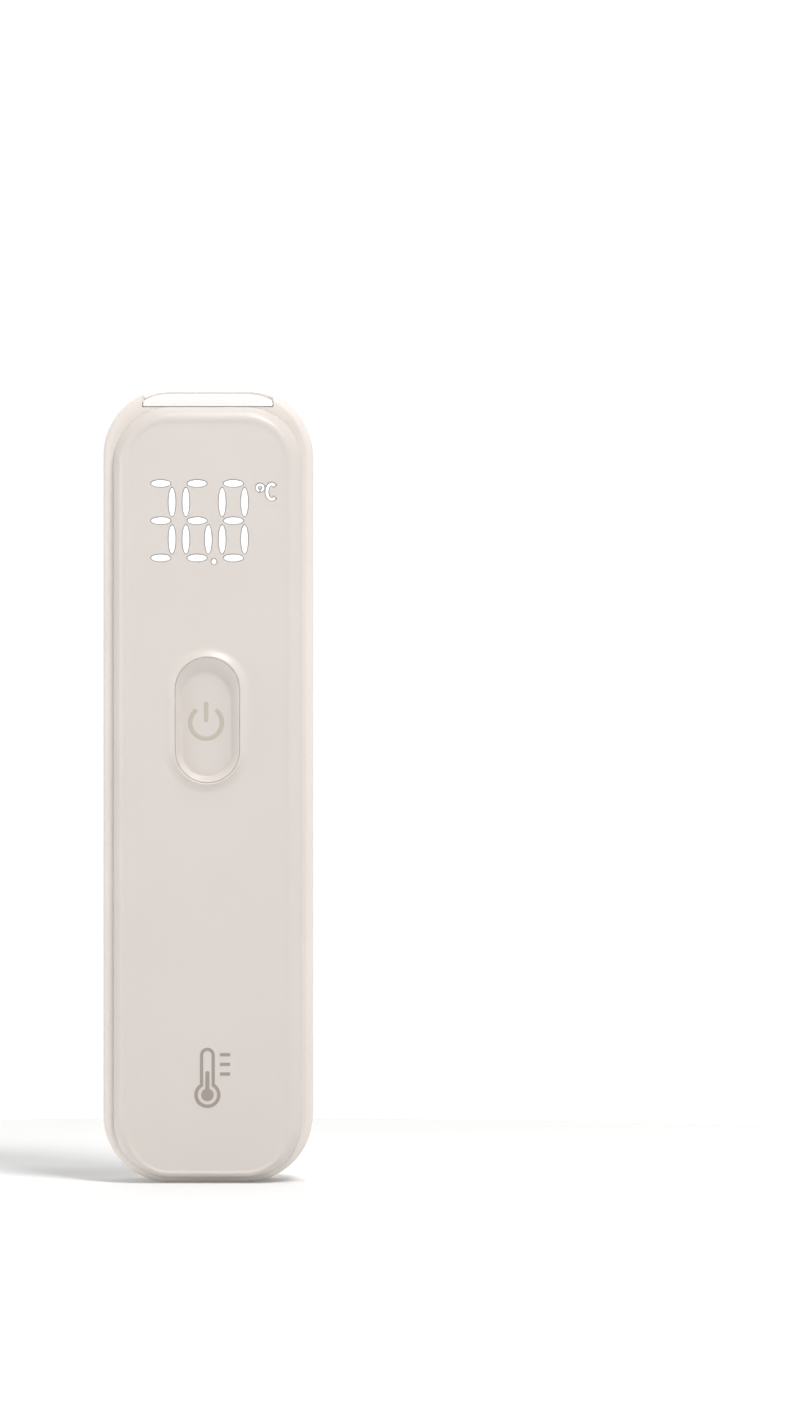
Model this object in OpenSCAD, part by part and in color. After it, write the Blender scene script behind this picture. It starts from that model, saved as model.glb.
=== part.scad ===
// Slim infrared forehead thermometer, standing on its foot with the display towards -Y.
// Every module below is laid out on its back first: x across, y along the length from the
// foot, z towards the display, with z = 0 at mid depth. upright() then stands it up.

/* [Casing] */
// Length of the casing from foot to sensor end
body_l = 140; // [118:1:170]
// Width of the casing
body_w = 36.9; // [34:0.1:46]
// Depth of the casing from the back to the face
body_d = 20.3; // [19:0.1:26]
// Corner radius of the outline
corner_r = 11.8; // [10:0.1:13]
// Wall of the moulded shells
wall = 1.6; // [1.2:0.1:2]
// Radius along the back edges
back_edge_r = 5; // [3.5:0.1:5.2]
// Radius along the front edges of the front shell
rim_r = 1.4; // [0.8:0.1:2.2]
// Clearance between pieces that drop into each other
slip = 0.15; // [0.1:0.01:0.25]

/* [Face cover] */
// Gap in plan between the outline and the cover at the long sides
cover_side = 1.9; // [1.5:0.1:2.6]
// Gap in plan at the foot
cover_foot = 0.9; // [0.6:0.1:2]
// Gap in plan at the sensor end
cover_head = 3.3; // [2.8:0.1:5]
// Height of the cover above the deck of the front shell
cover_h = 2.8; // [2.4:0.1:3.4]
// Wall of the cover
cover_wall = 1.3; // [1:0.1:1.6]

/* [Power button] */
// Centre of the button above the foot
button_z = 81.5; // [78:0.5:90]
// Width of the button
button_w = 10.9; // [9:0.1:13]
// Length of the button
button_l = 21.6; // [16:0.1:25]
// Height of the lip around the button above the face
lip_h = 0.7; // [0.3:0.1:1.2]
// Gap round the button
button_gap = 0.2; // [0.12:0.01:0.3]
// Depth of the thumb dish in the button
dish_depth = 1.15; // [0.5:0.05:1.4]
// Press travel of the button
press = 0.5; // [0.3:0.1:0.7]

/* [Display] */
// Middle of the digits above the foot
display_z = 116.6; // [112:0.1:118]
// Spacing of the digits
digit_pitch = 6.38; // [6.1:0.01:6.6]
// Length of an upright segment
segment_l = 5; // [4:0.1:5.6]
// Width of a segment
segment_w = 1.2; // [0.8:0.05:1.4]

/* [Batteries] */
// Diameter of an AAA cell
cell_d = 10.5; // [10.3:0.1:10.6]
// Length of an AAA cell
cell_l = 44.5; // [44:0.1:45]
// Gap between the two cells
cell_gap = 0.2; // [0.1:0.05:0.5]
// Length of a pressed contact spring
spring_l = 4.5; // [3.5:0.1:6]
// Thickness of the battery door
door_t = 1.6; // [1.2:0.1:2]
// Radius of the hinge pins of the door
pin_r = 0.6; // [0.5:0.05:0.7]
// Running clearance round the hinge pins
pin_fit = 0.06; // [0.04:0.01:0.09]

/* [Sensor] */
// Half width of the sensor cap
cap_half_w = 11.4; // [9:0.1:12.5]
// Depth of the sensor cap below the outline of the shells
cap_drop = 1; // [0.6:0.1:1.4]
// Radius of the sensing port where it meets the sensor
port_r = 3.2; // [2.7:0.1:3.6]
// Radius of the sensing port at its mouth
mouth_r = 5; // [4.4:0.1:5.6]
// Depth of the sensing port
port_depth = 3.6; // [3:0.1:4.4]

/* [Hidden] */
$fn = 64;
eps = 0.01;
over = 1;

// Levels towards the display, from the back of the casing to the crest of the button lip
depth_all = body_d + lip_h;
back_h = -depth_all / 2;
face_h = back_h + body_d;
deck_h = face_h - cover_h;
deck_in = deck_h - wall;
seam_h = 0;
lip_top = face_h + lip_h;

// Plan of the casing
half_w = body_w / 2;
cover_w = body_w - 2 * cover_side;
cover_top = body_l - cover_head;
cover_r = corner_r - cover_side;
cover_edge_r = cover_h - 0.3;
cover_in = face_h - cover_wall;

// Batteries and their tray
cell_r = cell_d / 2;
door_in = back_h + door_t;
cell_x = cell_r + cell_gap / 2;
cell_h = door_in + 0.4 + cell_r;
plate_t = 0.5;
tray_wall = 1.1;
tray_half = cell_x + cell_r + slip;
tray_lo = 10.6;
tray_hi = tray_lo + cell_l + spring_l + 2 * plate_t;
tray_roof = cell_h + cell_r + slip;
tray_roof_t = 1;

// Door and hinge: the knuckle is tangent to the back of the casing
knuckle_r = 1.1;
door_half = tray_half + tray_wall + 0.55;
door_lo = tray_lo - 2.6;
door_hi = tray_hi + 2;
hinge_y = door_lo + knuckle_r;
hinge_h = back_h + knuckle_r;
ledge_t = 1.4;
pin_l = 1.4;

// Board and what stands on it
board_t = 1;
board_h = 1;
board_top = board_h + board_t;
board_lo = tray_hi + tray_wall + 1.2;
board_hi = body_l - 14.2;
board_half = half_w - wall - 2.4;
board_screw_y = board_lo + 29;
board_screw_x = board_half - 2.6;
case_screw_r = 1;
case_boss_r = 2.2;
mark_t = 0.05;
case_screws_at = [
    for (s = [-1, 1]) [s * (half_w - wall - 4.4), tray_hi + 8.4],
    for (s = [-1, 1]) [s * (half_w - corner_r + 3.6), body_l - 12]
];
screw_head_r = 1.8;
screw_head_t = 1.3;
screw_sink = 3.2;
rear_boss_r = screw_head_r + slip + 1;
label_w = 22;
label_lo = tray_hi + 12;
label_hi = body_l - 27;
label_sink = 0.15;

// Display: lit segments a to g of the three digits
digit_x = [for (i = [0:2]) i * digit_pitch - 8.2];
digit_half = 1.97;
digit_rise = 6.55;
lens_t = 0.7;
lens_w = 24.6;
lens_l = 17.2;
lens_x = 1.3;
window_gap = 0.4;
lit = [[1, 1, 1, 1, 0, 0, 1], [1, 0, 1, 1, 1, 1, 1], [1, 1, 1, 1, 1, 1, 1]];
segment_at = [
    [0, digit_rise, 0], [digit_half, digit_rise / 2, 1], [digit_half, -digit_rise / 2, 1],
    [0, -digit_rise, 0], [-digit_half, -digit_rise / 2, 1], [-digit_half, digit_rise / 2, 1],
    [0, 0, 0]
];
dot_at = [digit_x[2] - 3.4, -7.2];
dot_r = 0.45;
degree_at = [digit_x[2] + 4.7, 5.8];
celsius_at = [digit_x[2] + 6.75, 5.1];
stroke = 0.5;

// Button stack
button_r = button_w / 2;
flange = 0.8;
flange_t = 0.8;
flange_h = deck_in - flange_t - 0.05;
skirt = 1.2;
switch_h = 3.4;
switch_w = 6;
plunger_r = 1.6;
plunger_h = 0.9;
pusher_h = board_top + switch_h + plunger_h + 0.02;
dish_half = button_r - 0.75;
dish_r = (dish_half * dish_half + dish_depth * dish_depth) / (2 * dish_depth);
button_top = lip_top - 0.1;
dish_floor = button_top - dish_depth;
dish_run = (button_l - button_w) / 2;
roof_in = dish_floor - 1;
icon_t = 0.15;
icon_r = 2.95;
icon_stroke = 0.76;
icon_gap = 35;

// Sensor stack along the length, from the cap inwards
cap_lo_h = -6.4;
cap_hi_h = deck_h - 0.1;
cap_top = body_l - cap_drop;
cap_base = cap_top - 4.4;
flange_out = 1.2;
port_floor = cap_top - port_depth;
sensor_h = (cap_lo_h + cap_hi_h) / 2;
filter_t = 0.4;
filter_r = 1.9;
can_r = 2.7;
can_l = 3.2;
can_top = port_floor - 0.5;
holder_r = 4.3;
holder_l = 4.8;
holder_top = cap_base;
gasket_t = 0.8;
pins_l = 3.2;
sensor_board_t = 0.8;
sensor_board_y = can_top - can_l - pins_l;

// Colours
shell_c = "#e4dcd6";
gloss_c = "#f4f2ef";
print_c = "#8f8780";
icon_c = "#c9c3b6";

// ---------------------------------------------------------------- helpers

// Stands a piece that was laid out on its back.
module upright() {
    rotate([90, 0, 0]) children();
}

// Rounded rectangle centred on x, from y = lo to y = hi.
module plan(w, lo, hi, r) {
    translate([-w / 2 + r, lo]) square([w - 2 * r, hi - lo]);
    translate([-w / 2, lo + r]) square([w, hi - lo - 2 * r]);
    for (x = [-w / 2 + r, w / 2 - r], y = [lo + r, hi - r]) translate([x, y]) circle(r);
}

// Prism on a rounded rectangle between two levels.
module slab(w, lo, hi, r, h0, h1) {
    translate([0, 0, h0]) linear_extrude(h1 - h0) plan(w, lo, hi, r);
}

// Carries an edge profile round a rounded rectangle. The profile's x runs outwards from the
// corner centres, so its outermost x is r; core fills the middle between levels h0 and h1.
module bar(w, lo, hi, r, core = [0, 0]) {
    x = w / 2 - r;
    if (core[1] > core[0])
        translate([-x, lo + r, core[0]]) cube([2 * x, hi - lo - 2 * r, core[1] - core[0]]);
    for (s = [0, 1]) mirror([s, 0, 0])
        translate([x, hi - r, 0]) rotate([90, 0, 0]) linear_extrude(hi - lo - 2 * r) children();
    translate([-x, hi - r, 0]) rotate([90, 0, 90]) linear_extrude(2 * x) children();
    translate([-x, lo + r, 0]) mirror([0, 1, 0]) rotate([90, 0, 90])
        linear_extrude(2 * x) children();
    for (c = [[x, hi - r, 0], [-x, hi - r, 90], [-x, lo + r, 180], [x, lo + r, 270]])
        translate([c[0], c[1], 0]) rotate([0, 0, c[2]]) rotate_extrude(angle = 90) children();
}

// Edge profile of a block that reaches radius r, with its lower or upper edge rounded.
module edge(r, h0, h1, low_r = 0, high_r = 0) {
    big = max(low_r, high_r);
    translate([0, h0]) square([r - big, h1 - h0]);
    translate([0, h0 + low_r]) square([r, h1 - h0 - low_r - high_r]);
    if (low_r > 0) translate([r - low_r, h0 + low_r]) circle(low_r);
    if (high_r > 0) translate([r - high_r, h1 - high_r]) circle(high_r);
}

// Pill centred on a point, its length along y.
module pill(w, l) {
    square([w, l - w], center = true);
    for (s = [-1, 1]) translate([0, s * (l - w) / 2]) circle(w / 2);
}

// Carries a profile round a pill whose straight sides are run long each way.
module pill_ring(run) {
    for (s = [0, 1]) {
        mirror([0, s, 0]) translate([0, run, 0]) rotate_extrude(angle = 180) children();
        mirror([s, 0, 0]) translate([0, run, 0]) rotate([90, 0, 0])
            linear_extrude(2 * run) children();
    }
}

// Cylinder that runs along the casing from y = lo to y = hi.
module rod(r, lo, hi, x = 0, h = 0) {
    translate([x, hi, h]) rotate([90, 0, 0]) cylinder(r = r, h = hi - lo);
}

// Elliptical outline of a glowing segment.
module ellipse(w, l) {
    polygon([for (a = [0:15:345]) [cos(a) * w / 2, sin(a) * l / 2]]);
}

// Band of an elliptical arc, stroke t wide, from angle a0 to a1.
module arc_band(rx, ry, t, a0, a1) {
    steps = 24;
    outer = [for (i = [0:steps]) let (a = a0 + (a1 - a0) * i / steps) [rx * cos(a), ry * sin(a)]];
    inner = [
        for (i = [steps:-1:0]) let (a = a0 + (a1 - a0) * i / steps)
            [(rx - t) * cos(a), (ry - t) * sin(a)]
    ];
    polygon(concat(outer, inner));
}

function unit(v) = v / norm(v);
function along(p, i) = unit(p[min(i + 1, len(p) - 1)] - p[max(i - 1, 0)]);

// Round wire swept along points; up is a direction that the wire never runs along.
module wire(path, r, sides = 8, up = [0, 0, 1]) {
    last = len(path) - 1;
    rings = [
        for (i = [0:last])
            let (t = along(path, i), u = unit(cross(t, up)), v = cross(t, u))
            for (k = [0:sides - 1])
                path[i] + r * (cos(360 * k / sides) * u + sin(360 * k / sides) * v)
    ];
    walls = [
        for (i = [0:last - 1], k = [0:sides - 1])
            let (a = i * sides + k, b = i * sides + (k + 1) % sides)
            [a, a + sides, b + sides, b]
    ];
    start = [for (k = [0:sides - 1]) k];
    end = [for (k = [sides - 1:-1:0]) last * sides + k];
    polyhedron(rings, concat(walls, [start, end]));
}

// ---------------------------------------------------------------- casing

module rear_shell() {
    color(shell_c) upright() difference() {
        union() {
            difference() {
                bar(body_w, 0, body_l, corner_r, [back_h, seam_h])
                    edge(corner_r, back_h, seam_h, low_r = back_edge_r);
                bar(body_w, 0, body_l, corner_r, [back_h + wall, seam_h + over])
                    edge(corner_r - wall, back_h + wall, seam_h + over, low_r = back_edge_r - wall);
            }
            tray_block();
            for (p = case_screws_at) translate([p[0], p[1], back_h + wall - eps])
                cylinder(r = rear_boss_r, h = seam_h - back_h - wall);
        }
        tray_room();
        door_recess();
        for (p = case_screws_at) screw_hole(p);
        sensor_opening();
        translate([0, 0, back_h - over]) linear_extrude(over + label_sink) plan(
            label_w + 2 * slip, label_lo - slip, label_hi + slip, 2);
    }
}

// Solid block round the cells, with the ledge that the door closes on.
module tray_block() {
    w = 2 * (tray_half + tray_wall);
    slab(w, tray_lo - tray_wall, tray_hi + tray_wall, 1, door_in + 0.1, tray_roof + tray_roof_t);
    slab(2 * door_half + 3.4, door_lo - 1.2, door_hi + 1.2, 2, door_in - eps, door_in + ledge_t);
}

module tray_room() {
    slab(2 * tray_half, tray_lo, tray_hi, 0.6, back_h - over, tray_roof);
    for (s = [-1, 1]) translate([s * cell_x - 1.5, tray_hi - eps, cell_h + 2.2])
        cube([3, tray_wall + over, 1.4]);
}

// Pocket for the door, its knuckle and its two pins, and the nail scoop above it.
module door_recess() {
    w = 2 * (door_half + slip);
    slab(w, door_lo - slip, door_hi + slip, 1.2 + slip, back_h - over, door_in + 0.1);
    translate([-w / 2, door_lo - slip, back_h - over]) cube([w, 4, over + door_t + 0.1]);
    translate([0, hinge_y, hinge_h]) rotate([0, 90, 0])
        cylinder(r = knuckle_r + slip, h = w, center = true);
    translate([0, hinge_y, hinge_h]) rotate([0, 90, 0])
        cylinder(r = pin_r + pin_fit, h = w + 2 * pin_l, center = true);
    translate([0, door_hi + 1, back_h - 5.7]) sphere(r = 7);
}

module screw_hole(p) {
    translate([p[0], p[1], back_h - over]) cylinder(r = screw_head_r + slip, h = over + screw_sink);
    translate([p[0], p[1], back_h]) cylinder(r = case_screw_r + slip, h = depth_all / 2 + over);
}

// Opening at the sensor end through both shells.
module sensor_opening() {
    w = 2 * (cap_half_w + slip);
    translate([-w / 2, cover_top, cap_lo_h - slip]) cube([w, body_l, depth_all]);
}

module front_shell() {
    boss_lo = seam_h + slip;
    color(shell_c) upright() difference() {
        union() {
            difference() {
                bar(body_w, 0, body_l, corner_r, [seam_h, deck_h])
                    edge(corner_r, seam_h, deck_h, high_r = rim_r);
                bar(body_w, 0, body_l, corner_r, [seam_h - over, deck_in])
                    edge(corner_r - wall, seam_h - over, deck_in);
            }
            tongue();
            for (p = case_screws_at) translate([p[0], p[1], boss_lo])
                cylinder(r = case_boss_r, h = deck_in - boss_lo + eps);
            for (s = [-1, 1]) translate([s * board_screw_x, board_screw_y, board_top])
                cylinder(r = 2, h = deck_in - board_top + eps);
        }
        for (p = case_screws_at) translate([p[0], p[1], boss_lo - over])
            cylinder(r = case_screw_r + 0.02, h = over + 4.2);
        for (s = [-1, 1]) translate([s * board_screw_x, board_screw_y, board_top - over])
            cylinder(r = 0.72, h = over + 2.6);
        translate([lens_x - lens_w / 2 - window_gap, display_z - lens_l / 2 - window_gap, deck_in - over])
            cube([lens_w + 2 * window_gap, lens_l + 2 * window_gap, wall + 2 * over]);
        translate([0, button_z, deck_in - over]) linear_extrude(wall + 2 * over)
            pill(button_w + 2 * button_gap, button_l + 2 * button_gap);
        sensor_opening();
    }
}

// Ring inside the front shell that reaches down into the rear shell.
module tongue() {
    r = corner_r - wall - slip;
    w = 2 * (cap_half_w + flange_out + slip);
    difference() {
        bar(body_w, 0, body_l, corner_r) {
            translate([r - 0.8, seam_h - 1.2]) square([0.8, 2]);
            translate([r - 0.8, seam_h + 0.2]) square([0.9 + slip, 0.6]);
        }
        translate([-w / 2, cap_base - slip, seam_h - 2]) cube([w, body_l, 4]);
    }
}

module face_cover() {
    color(shell_c) upright() difference() {
        union() {
            bar(cover_w, cover_foot, cover_top, cover_r, [deck_h, face_h]) cover_profile();
            translate([0, button_z, 0]) pill_ring(dish_run) lip_profile();
        }
        bar(cover_w, cover_foot, cover_top, cover_r, [deck_h - over, cover_in])
            edge(cover_r - cover_wall - 0.5, deck_h - over, cover_in);
        translate([0, button_z, deck_h - over]) linear_extrude(cover_h + 2 * over)
            pill(button_w + 2 * button_gap, button_l + 2 * button_gap);
        glyphs(cover_in - over, face_h + over);
    }
}

// Edge of the cover: a set-back foot that makes the shadow gap, then a quarter round.
module cover_profile() {
    foot_in = 0.35;
    foot_h = cover_h - cover_edge_r;
    square_r = cover_r - cover_edge_r;
    translate([0, deck_h]) square([square_r, cover_h]);
    translate([0, deck_h]) square([cover_r - foot_in, foot_h + eps]);
    translate([square_r, deck_h + foot_h]) intersection() {
        circle(cover_edge_r);
        translate([-eps, 0]) square(cover_edge_r + 1);
    }
}

// Section of the raised lip: steep on the inside, sloping away on the outside.
module lip_profile() {
    r = button_r + button_gap;
    polygon([
        [r - 0.3, face_h - 0.6], [r - 0.3, lip_top], [r + 0.4, lip_top], [r + 0.8, lip_top - 0.2],
        [r + 1.3, lip_top - 0.5], [r + 1.8, face_h], [r + 1.8, face_h - 0.6]
    ]);
}

// Prisms of the glowing segments, the point and the unit.
module glyphs(h0, h1) {
    translate([0, display_z, h0]) linear_extrude(h1 - h0) {
        for (d = [0:2], s = [0:6]) if (lit[d][s] == 1)
            translate([digit_x[d] + segment_at[s][0], segment_at[s][1]])
                rotate([0, 0, 90 * (1 - segment_at[s][2])])
                    ellipse(segment_w, segment_at[s][2] == 1 ? segment_l : 0.68 * segment_l);
        translate(dot_at) circle(dot_r);
        translate(degree_at) arc_band(0.75, 0.75, 0.35, -80, 260);
        translate(celsius_at) arc_band(1.1, 1.6, stroke, 50, 310);
    }
}

// Pictogram on the lower face: a stem and bulb with three marks beside it.
module mark() {
    translate([0, 18.6]) {
        difference() {
            union() {
                translate([0, 1]) pill(2.6, 8.6);
                translate([0, -3]) circle(2.3);
            }
            union() {
                translate([0, 1]) pill(1.5, 7.5);
                translate([0, -3]) circle(1.7);
            }
        }
        translate([0, -1]) pill(0.7, 4.4);
        translate([0, -3]) circle(1.1);
        for (i = [0:2]) translate([2.2, 0.4 + i * 1.7]) square([1.8, 0.55]);
    }
}

module face_mark() {
    color(print_c) upright() translate([0, 0, face_h]) linear_extrude(mark_t) mark();
}

// ---------------------------------------------------------------- power button

module power_button() {
    rim_w = button_w + 2 * (button_gap + flange);
    rim_l = button_l + 2 * (button_gap + flange);
    color(shell_c) upright() translate([0, button_z, 0]) {
        difference() {
            union() {
                translate([0, 0, flange_h]) linear_extrude(button_top - flange_h)
                    pill(button_w, button_l);
                translate([0, 0, flange_h]) linear_extrude(flange_t) pill(rim_w, rim_l);
            }
            translate([0, 0, flange_h - over]) linear_extrude(roof_in - flange_h + over)
                pill(button_w - 2 * skirt, button_l - 2 * skirt);
            dish(0);
            intersection() {
                icon_prism();
                dish(icon_t);
            }
        }
        translate([0, 0, pusher_h]) cylinder(r = 1.9, h = roof_in - pusher_h + eps);
    }
}

// Thumb dish: a trough with ball ends, sunk by drop below the dish floor.
module dish(drop) {
    translate([0, 0, dish_floor + dish_r - drop]) pill_ring(dish_run) intersection() {
        circle(dish_r);
        translate([0, -dish_r]) square([dish_r, dish_r]);
    }
}

// Standby symbol: a ring open at the top with a bar through the gap.
module icon_prism() {
    translate([0, 0, dish_floor - 1]) linear_extrude(2.4) {
        arc_band(icon_r + icon_stroke / 2, icon_r + icon_stroke / 2, icon_stroke,
            90 + icon_gap, 450 - icon_gap);
        translate([-0.42, 0]) square([0.84, 3.9]);
    }
}

module power_icon() {
    color(icon_c) upright() translate([0, button_z, 0]) intersection() {
        icon_prism();
        difference() {
            dish(icon_t);
            dish(0);
        }
    }
}

module tact_switch() {
    color("#3a3a3c") upright() translate([0, button_z, board_top]) difference() {
        union() {
            translate([-switch_w / 2, -switch_w / 2, 0]) cube([switch_w, switch_w, switch_h]);
            for (x = [-1, 1], y = [-1, 1]) translate([x * 3.6 - 0.6, y * 2.2 - 0.35, 0])
                cube([1.2, 0.7, 0.3]);
        }
        translate([0, 0, switch_h - 1.2]) cylinder(r = plunger_r + 0.08, h = 1.2 + over);
    }
}

module switch_plunger() {
    color("#d9d4cc") upright() translate([0, button_z, board_top + switch_h - 0.6])
        cylinder(r = plunger_r, h = plunger_h + 0.6);
}

// ---------------------------------------------------------------- display

module segment_lens() {
    color("white") upright() union() {
        translate([lens_x - lens_w / 2, display_z - lens_l / 2, cover_in - lens_t])
            cube([lens_w, lens_l, lens_t]);
        glyphs(cover_in - eps, face_h);
    }
}

module display_reflector() {
    h1 = cover_in - lens_t;
    color("#f1f1ef") upright() difference() {
        translate([lens_x - lens_w / 2, display_z - lens_l / 2, board_top])
            cube([lens_w, lens_l, h1 - board_top]);
        for (d = [0:2], s = [0:6]) well(digit_x[d] + segment_at[s][0], segment_at[s][1],
            segment_at[s][2] == 1 ? [1.5, segment_l] : [2.2, 1.5]);
        well(dot_at[0], dot_at[1], [1.1, 1.1]);
        well((degree_at[0] + celsius_at[0]) / 2, celsius_at[1], [4.6, 3.6]);
    }
}

// Straight light well under one segment.
module well(x, y, size) {
    translate([x - size[0] / 2, display_z + y - size[1] / 2, board_top - over])
        cube([size[0], size[1], cover_in - board_top + 2 * over]);
}

module display_leds() {
    led = [0.9, 0.9, 0.5];
    color("#fff4c2") upright() {
        for (d = [0:2], s = segment_at) translate([digit_x[d] + s[0] - led[0] / 2,
            display_z + s[1] - led[1] / 2, board_top]) cube(led);
        translate([dot_at[0] - led[0] / 2, display_z + dot_at[1] - led[1] / 2, board_top]) cube(led);
        for (x = [degree_at[0], celsius_at[0]]) translate([x - led[0] / 2,
            display_z + celsius_at[1] - led[1] / 2, board_top]) cube(led);
    }
}

// ---------------------------------------------------------------- electronics

module main_board() {
    color("#2e6b45") upright() difference() {
        slab(2 * board_half, board_lo, board_hi, 2, board_h, board_top);
        for (p = case_screws_at) translate([p[0], p[1], board_h - over])
            cylinder(r = case_boss_r + 0.4, h = board_t + 2 * over);
        for (s = [-1, 1]) translate([s * board_screw_x, board_screw_y, board_h - over])
            cylinder(r = 0.9, h = board_t + 2 * over);
    }
}

module controller_chip() {
    y = display_z - 12;
    color("#26272b") upright() {
        translate([-3.5, y - 3.5, board_h - 1.3]) cube([7, 7, 1.1]);
        for (s = [-1, 1], i = [0:7]) {
            translate([s * 4 - 0.6, y - 3 + i * 0.8, board_h - 0.25]) cube([1.2, 0.4, 0.25]);
            translate([s * 3.5 - 0.15, y - 3 + i * 0.8, board_h - 0.8]) cube([0.3, 0.4, 0.56]);
        }
    }
}

module clock_crystal() {
    color("silver") upright() translate([8, display_z - 9, board_h - 1.5])
        linear_extrude(1.5) pill(2.6, 6.4);
}

module board_components() {
    chip = [1.6, 0.8, 0.7];
    color("#c2a878") upright() {
        for (x = [-9.5, -7.4], i = [0:4]) translate([x - chip[0] / 2, display_z - 17 + i * 2.2,
            board_h - chip[2]]) cube(chip);
        for (i = [0:3]) translate([6.4 + i * 2.2, display_z - 18.6, board_h - chip[2]])
            cube([chip[1], chip[0], chip[2]]);
    }
}

module buzzer() {
    y = button_z - 1;
    color("#1f1f21") upright() difference() {
        translate([4.5, y, board_h - 3.6]) cylinder(r = 4.5, h = 3.6);
        translate([4.5, y, board_h - 3.6 - over]) cylinder(r = 0.9, h = over + 1);
    }
}

module board_screws() {
    color("silver") upright() for (s = [-1, 1]) translate([s * board_screw_x, board_screw_y, 0]) {
        translate([0, 0, board_h - 1]) cylinder(r = 1.4, h = 1);
        translate([0, 0, board_h - eps]) cylinder(r = 0.7, h = 3.2);
    }
}

// ---------------------------------------------------------------- sensor

module sensor_cap() {
    w = 2 * cap_half_w;
    room_lo = back_h + wall + slip;
    color(gloss_c) upright() difference() {
        union() {
            intersection() {
                bar(body_w, 0, body_l, corner_r, [cap_lo_h, cap_hi_h])
                    edge(corner_r - cap_drop, cap_lo_h, cap_hi_h, low_r = 1.2, high_r = 1.2);
                translate([-w / 2, cover_top + slip, cap_lo_h - over]) cube([w, body_l, depth_all]);
            }
            intersection() {
                bar(body_w, 0, body_l, corner_r, [room_lo, deck_in - slip])
                    edge(corner_r - wall - slip, room_lo, deck_in - slip,
                        low_r = back_edge_r - wall - slip);
                translate([-w / 2 - flange_out, cap_base, cap_lo_h - flange_out])
                    cube([w + 2 * flange_out, body_l - cap_base - wall - 0.6, deck_in - cap_lo_h
                        + flange_out - slip]);
            }
        }
        translate([0, cap_top + eps, sensor_h]) rotate([90, 0, 0])
            cylinder(r1 = mouth_r, r2 = port_r, h = port_depth + eps);
        rod(port_r, cap_base - over, cap_top - port_depth + eps, 0, sensor_h);
    }
}

module sensor_gasket() {
    color("#3c3c3e") upright() difference() {
        rod(holder_r, holder_top - gasket_t, holder_top, 0, sensor_h);
        rod(port_r, holder_top - gasket_t - over, holder_top + over, 0, sensor_h);
    }
}

module sensor_holder() {
    top = holder_top - gasket_t;
    color("#b8bcc0") upright() difference() {
        rod(holder_r, top - holder_l, top, 0, sensor_h);
        rod(can_r + 0.05, top - holder_l - over, top + over, 0, sensor_h);
    }
}

module sensor_can() {
    color("#d2d4d6") upright() difference() {
        union() {
            rod(can_r - 0.35, can_top - can_l, can_top, 0, sensor_h);
            rod(can_r, can_top - can_l, can_top - can_l + 0.5, 0, sensor_h);
        }
        rod(filter_r, can_top - filter_t, can_top + over, 0, sensor_h);
    }
}

module sensor_filter() {
    color("#4a4658") upright() rod(filter_r, can_top - filter_t, can_top, 0, sensor_h);
}

module sensor_pins() {
    color("gold") upright() for (a = [45:90:315])
        rod(0.22, sensor_board_y, can_top - can_l, 1.2 * cos(a), sensor_h + 1.2 * sin(a));
}

module sensor_board() {
    color("#2e6b45") upright() rod(holder_r, sensor_board_y - sensor_board_t, sensor_board_y, 0,
        sensor_h);
}

// Flat cable from the sensor board to the back of the main board.
module sensor_ribbon() {
    y1 = sensor_board_y - sensor_board_t;
    y0 = board_hi - 4;
    t = 0.35;
    color("#d8b26a") upright() translate([-2.5, 0, 0]) rotate([90, 0, 90]) linear_extrude(5)
        polygon([
            [y1, sensor_h - 1], [y1, sensor_h - 1 - t], [y1 - 1, sensor_h - 1 - t],
            [y0 + 2, board_h - t - eps], [y0, board_h - t - eps], [y0, board_h],
            [y0 + 2.2, board_h], [y1 - 0.9, sensor_h - 1]
        ]);
}

// ---------------------------------------------------------------- batteries

// One cell with its nub at the top end; foot is where its flat end stands.
module cell(x, foot) {
    rod(cell_r, foot, foot + cell_l - 1, x, cell_h);
    rod(1.9, foot + cell_l - 1.5, foot + cell_l, x, cell_h);
}

module battery_left() {
    color("#c7a24a") upright() cell(-cell_x, tray_hi - plate_t - cell_l);
}

module battery_right() {
    color("#c7a24a") upright() mirror([0, 1, 0])
        translate([0, -2 * tray_lo - 2 * plate_t - cell_l, 0]) cell(cell_x, tray_lo + plate_t);
}

// Conical coil spring between y0 and y1, wide at y0.
module coil(x, y0, y1) {
    turns = 4;
    wire_r = 0.3;
    steps = 16 * turns;
    path = [
        for (i = [0:steps]) let (f = i / steps, r = 3.6 - 1.6 * f, a = 360 * turns * f)
            [x + r * cos(a), y0 + (y1 - y0) * f, cell_h + r * sin(a)]
    ];
    wire(path, wire_r, 6, [0, 1, 0]);
}

module battery_springs() {
    gap = 0.35;
    color("silver") upright() {
        coil(-cell_x, tray_lo + plate_t + gap, tray_lo + plate_t + spring_l - gap);
        coil(cell_x, tray_hi - plate_t - gap, tray_hi - plate_t - spring_l + gap);
    }
}

// Two separate plates at the sensor end, each with a solder tab through the tray wall.
module contact_plates() {
    color("silver") upright() for (s = [-1, 1]) {
        translate([s * cell_x - 4, tray_hi - plate_t, cell_h - 4]) cube([8, plate_t, 8]);
        translate([s * cell_x - 1, tray_hi - eps, cell_h + 2.5]) cube([2, tray_wall + 1, 0.5]);
    }
}

// One plate at the foot end that joins the two cells.
module link_plate() {
    color("silver") upright() translate([-cell_x - 4, tray_lo, cell_h - 4])
        cube([2 * cell_x + 8, plate_t, 8]);
}

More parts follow.
